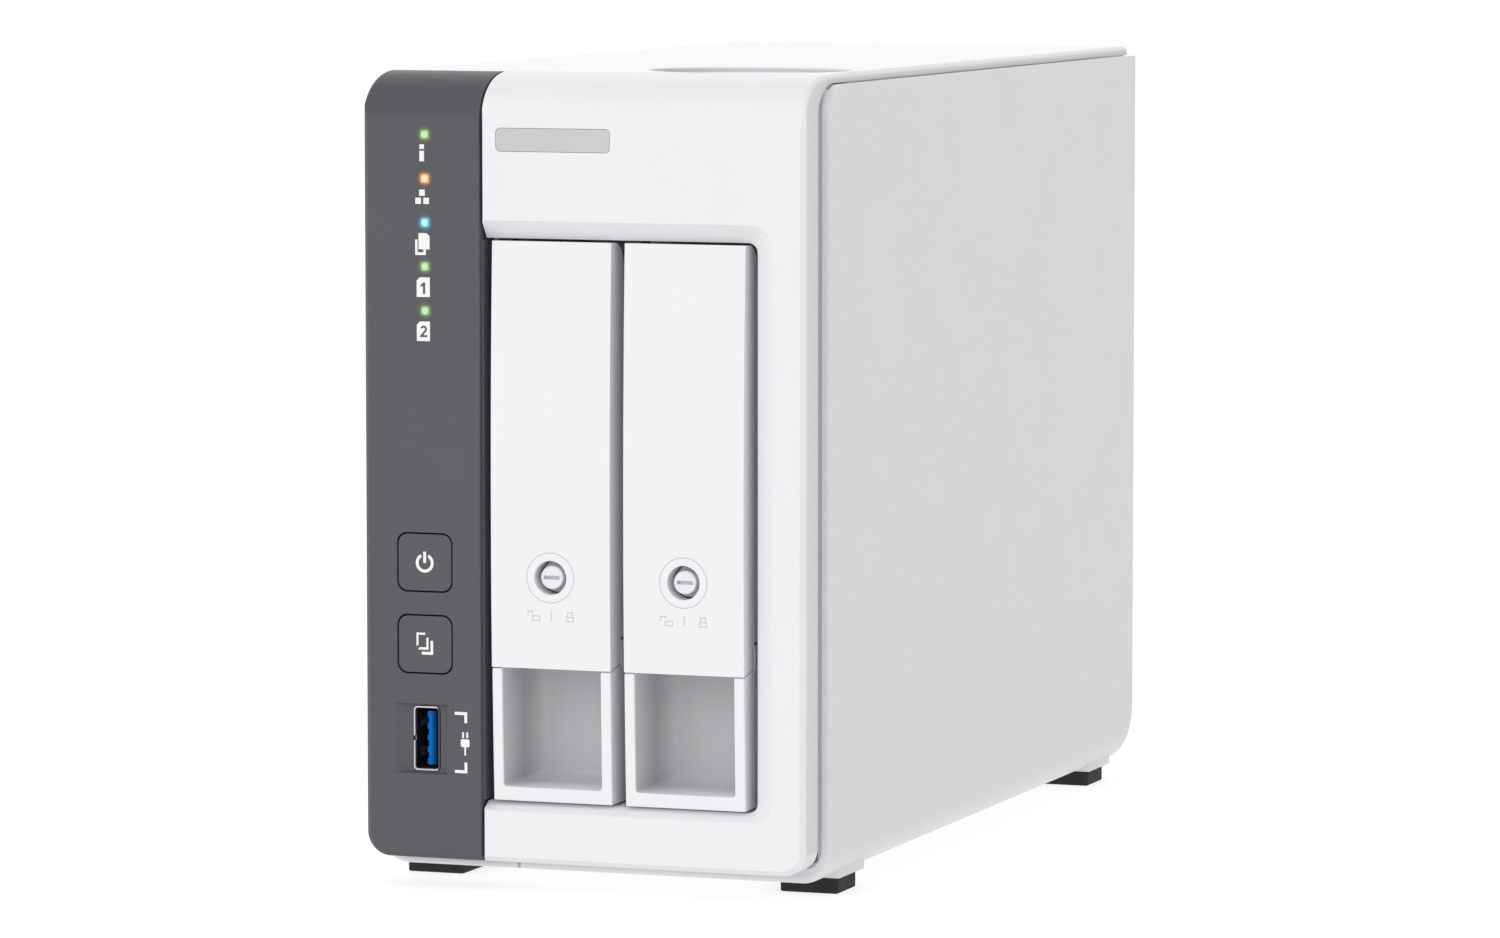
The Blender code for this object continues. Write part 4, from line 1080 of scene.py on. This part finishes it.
def tray_lock(number):
    node = f"lock_{number}"
    low, high = node_box(node)
    x, z = (low.x + high.x) / 2, low.z + LOCK_RADIUS
    body = turned_y([(LOCK_RADIUS, 4.0), (LOCK_RADIUS, high.y)], (x, z), 48)
    boss = turned_y([(2.37, low.y), (2.37, 4.2)], (x, z), 48)
    soften(boss, 0.25, 4)
    join(body, boss, block((x - 2.2, 4.9, z - 1), (x + 2.2, high.y, high.z)))
    cut(body, block((x - 1.7, 0, z - 0.38), (x + 1.7, 1.9, z + 0.38)))
    piece(body, f"{node}_barrel", WHITE, node, [node], "steel")


def drive(number):
    """A 3.5 inch drive: casting, lid with screws and a blank label, board with chips."""
    node, body = f"drive_{number}", f"tray_{number}"
    low, high = node_box(node)

    def plate(front, rear, inset, radius, steps, start, end):
        outline = rounded(low.y + front, high.y - rear, low.z + inset, high.z - inset, radius, steps)
        return prism(outline, "X", start, end)

    base = plate(0, 0, 0, 2.5, 6, low.x + 1.1, high.x - 1.2)
    soften(base, 0.5, 3)
    holes = [
        rod("X", (low.y + dy, z), 1.5, low.x, low.x + 4, 20)
        for dy in (16, 60, 104)
        for z in (low.z + 3.3, high.z - 3.3)
    ]
    cut(base, *holes)
    piece(base, f"{node}_casting", CASTING, body, [node], "aluminium")
    lid = plate(2, 20, 2, 9, 10, high.x - 1.3, high.x - 0.5)
    dome = plate(6, 52, 6, 40, 24, high.x - 0.6, high.x - 0.05)
    soften(dome, 0.25, 3)
    soften(lid, 0.25, 3)
    middle = (low.y + high.y) / 2 - 8
    heads = []
    for y, inset in ((low.y + 7, 7), (high.y - 27, 7), (middle, 5.5)):
        for z in (low.z + inset, high.z - inset):
            heads.append(rod("X", (y, z), 2.2, high.x - 0.8, high.x - 0.1, 24))
    piece(merge([lid, dome] + heads), f"{node}_lid", LID, body, slot="aluminium")
    label = plate(18, 62, 22, 2, 4, high.x - 0.1, high.x)
    piece(label, f"{node}_label", LABEL, body, slot="white_plastic")
    board = plate(14, 2, 8, 3, 4, low.x + 0.55, low.x + 1.3)
    piece(board, f"{node}_board", BOARD, body, slot="circuit_board")
    places = [(30, 30, 14, 14), (56, 26, 10, 16), (60, 60, 12, 9)]
    places += [(96, 40, 8, 20), (112, 70, 12, 8), (28, 66, 9, 9)]
    chips = [
        block((low.x, low.y + y, low.z + z), (low.x + 0.7, low.y + y + w, low.z + z + h))
        for y, z, w, h in places
    ]
    piece(merge(chips), f"{node}_chips", CHIP, body, slot="black_plastic")
    plug = block((low.x + 1.3, high.y - 6, low.z + 14), (low.x + 5.0, high.y, low.z + 56))
    soften(plug, 0.2, 2)
    piece(plug, f"{node}_connector", BLACK, body, slot="black_plastic")


# ------------------------------------------------------------------ rear and inside


def screw_head(node, finish):
    """A pan head with a cross recess, facing the rear."""
    low, high = node_box(node)
    x, z = (low.x + high.x) / 2, (low.z + high.z) / 2
    start = high.y - 1.7
    dome = [(3.0, 0.0), (2.95, 0.6), (2.6, 1.15), (1.9, 1.5), (0.9, 1.68)]
    crown = [(1.4, low.y), (1.4, start)] + [(radius, start + rise) for radius, rise in dome]
    made = turned_y(crown, (x, z), 32)
    slots = []
    for turn in (45, 135):
        run = math.radians(turn)
        along, across = Vector((math.cos(run), math.sin(run))), Vector((-math.sin(run), math.cos(run)))
        corners = [(-1.7, -0.36), (1.7, -0.36), (1.7, 0.36), (-1.7, 0.36)]
        outline = [tuple(Vector((x, z)) + along * a + across * c) for a, c in corners]
        slots.append(prism(outline, "Y", high.y - 1.1, high.y + 1))
    cut(made, *slots)
    piece(made, node + "_head", finish, "housing", [node], "steel")


def network_contacts(node):
    """The dark lining of a network jack, its eight sprung wires and two small indicator windows."""
    low, high = node_box(node)
    z = (low.z + high.z) / 2
    lining, hollow = [], []
    for made, inset, end in ((lining, 0.04, high.y - 0.5), (hollow, 0.34, high.y + 1)):
        start = high.y - 13 + inset
        half = 5.9 - inset
        made.append(block((low.x + 1.5 + inset, start, z - half), (low.x + 9.5 - inset, end, z + half)))
        half = 3.1 - inset
        made.append(block((low.x + 8.5, start, z - half), (low.x + 11.3 - inset, end, z + half)))
    cut(join(*lining), *hollow)
    piece(lining[0], node + "_lining", BLACK, "housing", slot="black_plastic")
    wires = []
    for i in range(8):
        dz = -3.57 + 1.02 * i
        path = [(1.9, -1.6), (4.6, -9.5), (4.8, -9.3), (2.2, -1.6)]
        outline = [(low.x + u, high.y + v) for u, v in path]
        wires.append(prism(outline, "Z", z + dz - 0.18, z + dz + 0.18))
    piece(merge(wires), node + "_contacts", GOLD, "housing", slot="steel")
    for index, dz in enumerate((-6.9, 6.9)):
        corner = (high.x - 3.0, high.y - 0.3, z + dz - 0.7)
        window = block(corner, (high.x - 0.9, high.y + 0.05, z + dz + 0.7))
        soften(window, 0.08, 2)
        finish = (BLACK, LABEL)[index]
        piece(window, f"{node}_window_{index + 1}", finish, "housing", slot="black_plastic")


def chips_on_boards():
    front = node_box("control_board")[0].y
    parts = []
    for i in range(8):
        x, z = -41 + 5 * (i % 2), 76 + 9 * i
        parts.append(block((x, front - 0.9, z), (x + 2.6, front - 0.01, z + 3)))
    piece(merge(parts), "control_board_parts", CHIP, "housing", slot="black_plastic")
    front = node_box("backplane_board")[0].y
    parts = []
    for i in range(5):
        parts.append(block((-21 + 12 * i, front - 1.0, 120), (-17 + 12 * i, front - 0.01, 124)))
    piece(merge(parts), "backplane_parts", CHIP, "housing", slot="black_plastic")


def recolour(finishes):
    """CAD nodes whose shape is right keep it and get a finished material and slightly rounded edges."""
    for names, finish, width in finishes:
        for name in names:
            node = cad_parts[name]
            node.modifiers.new("weld", "WELD").merge_threshold = 0.000002
            whole = node.modifiers.new("flat_faces", "DECIMATE")
            whole.decimate_type = "DISSOLVE"
            whole.angle_limit = math.radians(0.5)
            if width:
                bevel(node, width * MM, 2, 40)
            dress(node, finish, 32)


def stage_and_lights():
    scene = bpy.context.scene
    floor_shape = bpy.data.meshes.new("floor")
    corners = [(-30, -30, 0), (30, -30, 0), (30, 60, 0), (-30, 60, 0)]
    floor_shape.from_pydata(corners, [], [(0, 1, 2, 3)])
    floor = placed("floor", floor_shape)
    paint = moulded("pale_floor", linear(150, 150, 150), 0.9, grain=60.0, depth=0.0001, spread=0.004)
    paint.shader.inputs["Emission Color"].default_value = (1.0, 1.0, 1.0, 1.0)
    paint.shader.inputs["Emission Strength"].default_value = 0.77
    paint.shader.inputs["Specular IOR Level"].default_value = 0.0
    floor_shape.materials.append(paint.material)

    world = bpy.data.worlds.new("studio")
    scene.world = world
    world.use_nodes = True
    background = world.node_tree.nodes["Background"]
    background.inputs["Color"].default_value = (1.0, 1.0, 1.0, 1.0)
    backdrop = world.node_tree
    place = backdrop.nodes.new("ShaderNodeTexCoord")
    facing = backdrop.nodes.new("ShaderNodeVectorMath")
    facing.operation = "DOT_PRODUCT"
    facing.inputs[1].default_value = Vector((-0.34, 0.9, 0.25)).normalized()
    backdrop.links.new(place.outputs["Generated"], facing.inputs[0])
    strength = map_range(backdrop, facing.outputs["Value"], (0.55, 0.92, 0.555, 1.5), "SMOOTHERSTEP")
    backdrop.links.new(strength, background.inputs["Strength"])

    lamp = bpy.data.lights.new("key", "SUN")
    lamp.energy = 1.22
    lamp.angle = math.radians(80)
    key = placed("key", lamp)
    key.rotation_euler = Vector((0.05, 0.27, -0.28)).to_track_quat("-Z", "Y").to_euler()

    lens_data = bpy.data.cameras.new("camera")
    lens_data.sensor_width = 36.0
    lens_data.lens = 165.76
    lens_data.clip_end = 200.0
    camera = placed("camera", lens_data)
    camera.location = (0.49836, -1.3879, 0.21018)
    camera.rotation_euler = (math.radians(90 - 5.163), 0.0, math.radians(19.896))
    scene.camera = camera
    scene.view_settings.view_transform = "Standard"


bezel()
strip()
top_panel()
wrap()
feet()
name_bar()
strip_marks()
front_button("power_button", power_mark())
front_button("copy_button", copy_mark())
light_pipes()
usb_socket("front_usb", 1, 1, BLUE, "blue_plastic")
usb_socket("rear_usb_1", -1, -1, BLACK, "black_plastic")
usb_socket("rear_usb_2", -1, -1, BLACK, "black_plastic")
for index in (1, 2):
    tray_front(index)
    handle(index)
    tray_lock(index)
    drive(index)
    network_contacts(f"network_jack_{index}")
for index in range(1, 5):
    screw_head(f"fan_screw_{index}", BLACK)
    screw_head(f"panel_screw_{index}", SHELL)
chips_on_boards()
recolour(
    [
        (("rear_panel",), COVER, 0.0),
        (("drive_cage", "chassis_plate"), STEEL, 0.0),
        (("hinge_pin_1", "hinge_pin_2"), SHELL, 0.1),
        (("network_jack_1", "network_jack_2"), SHELL, 0.1),
        (("heatsink",), CASTING, 0.2),
        (("mainboard", "backplane_board", "control_board"), BOARD, 0.0),
        (("sata_socket_1", "sata_socket_2", "board_slot"), BLACK, 0.15),
        (("power_switch", "copy_switch", "power_inlet"), BLACK, 0.15),
        (("reset_button",), BLACK, 0.1),
        (("fan_frame", "fan_rotor"), FAN_PLASTIC, 0.2),
    ]
)
stage_and_lights()
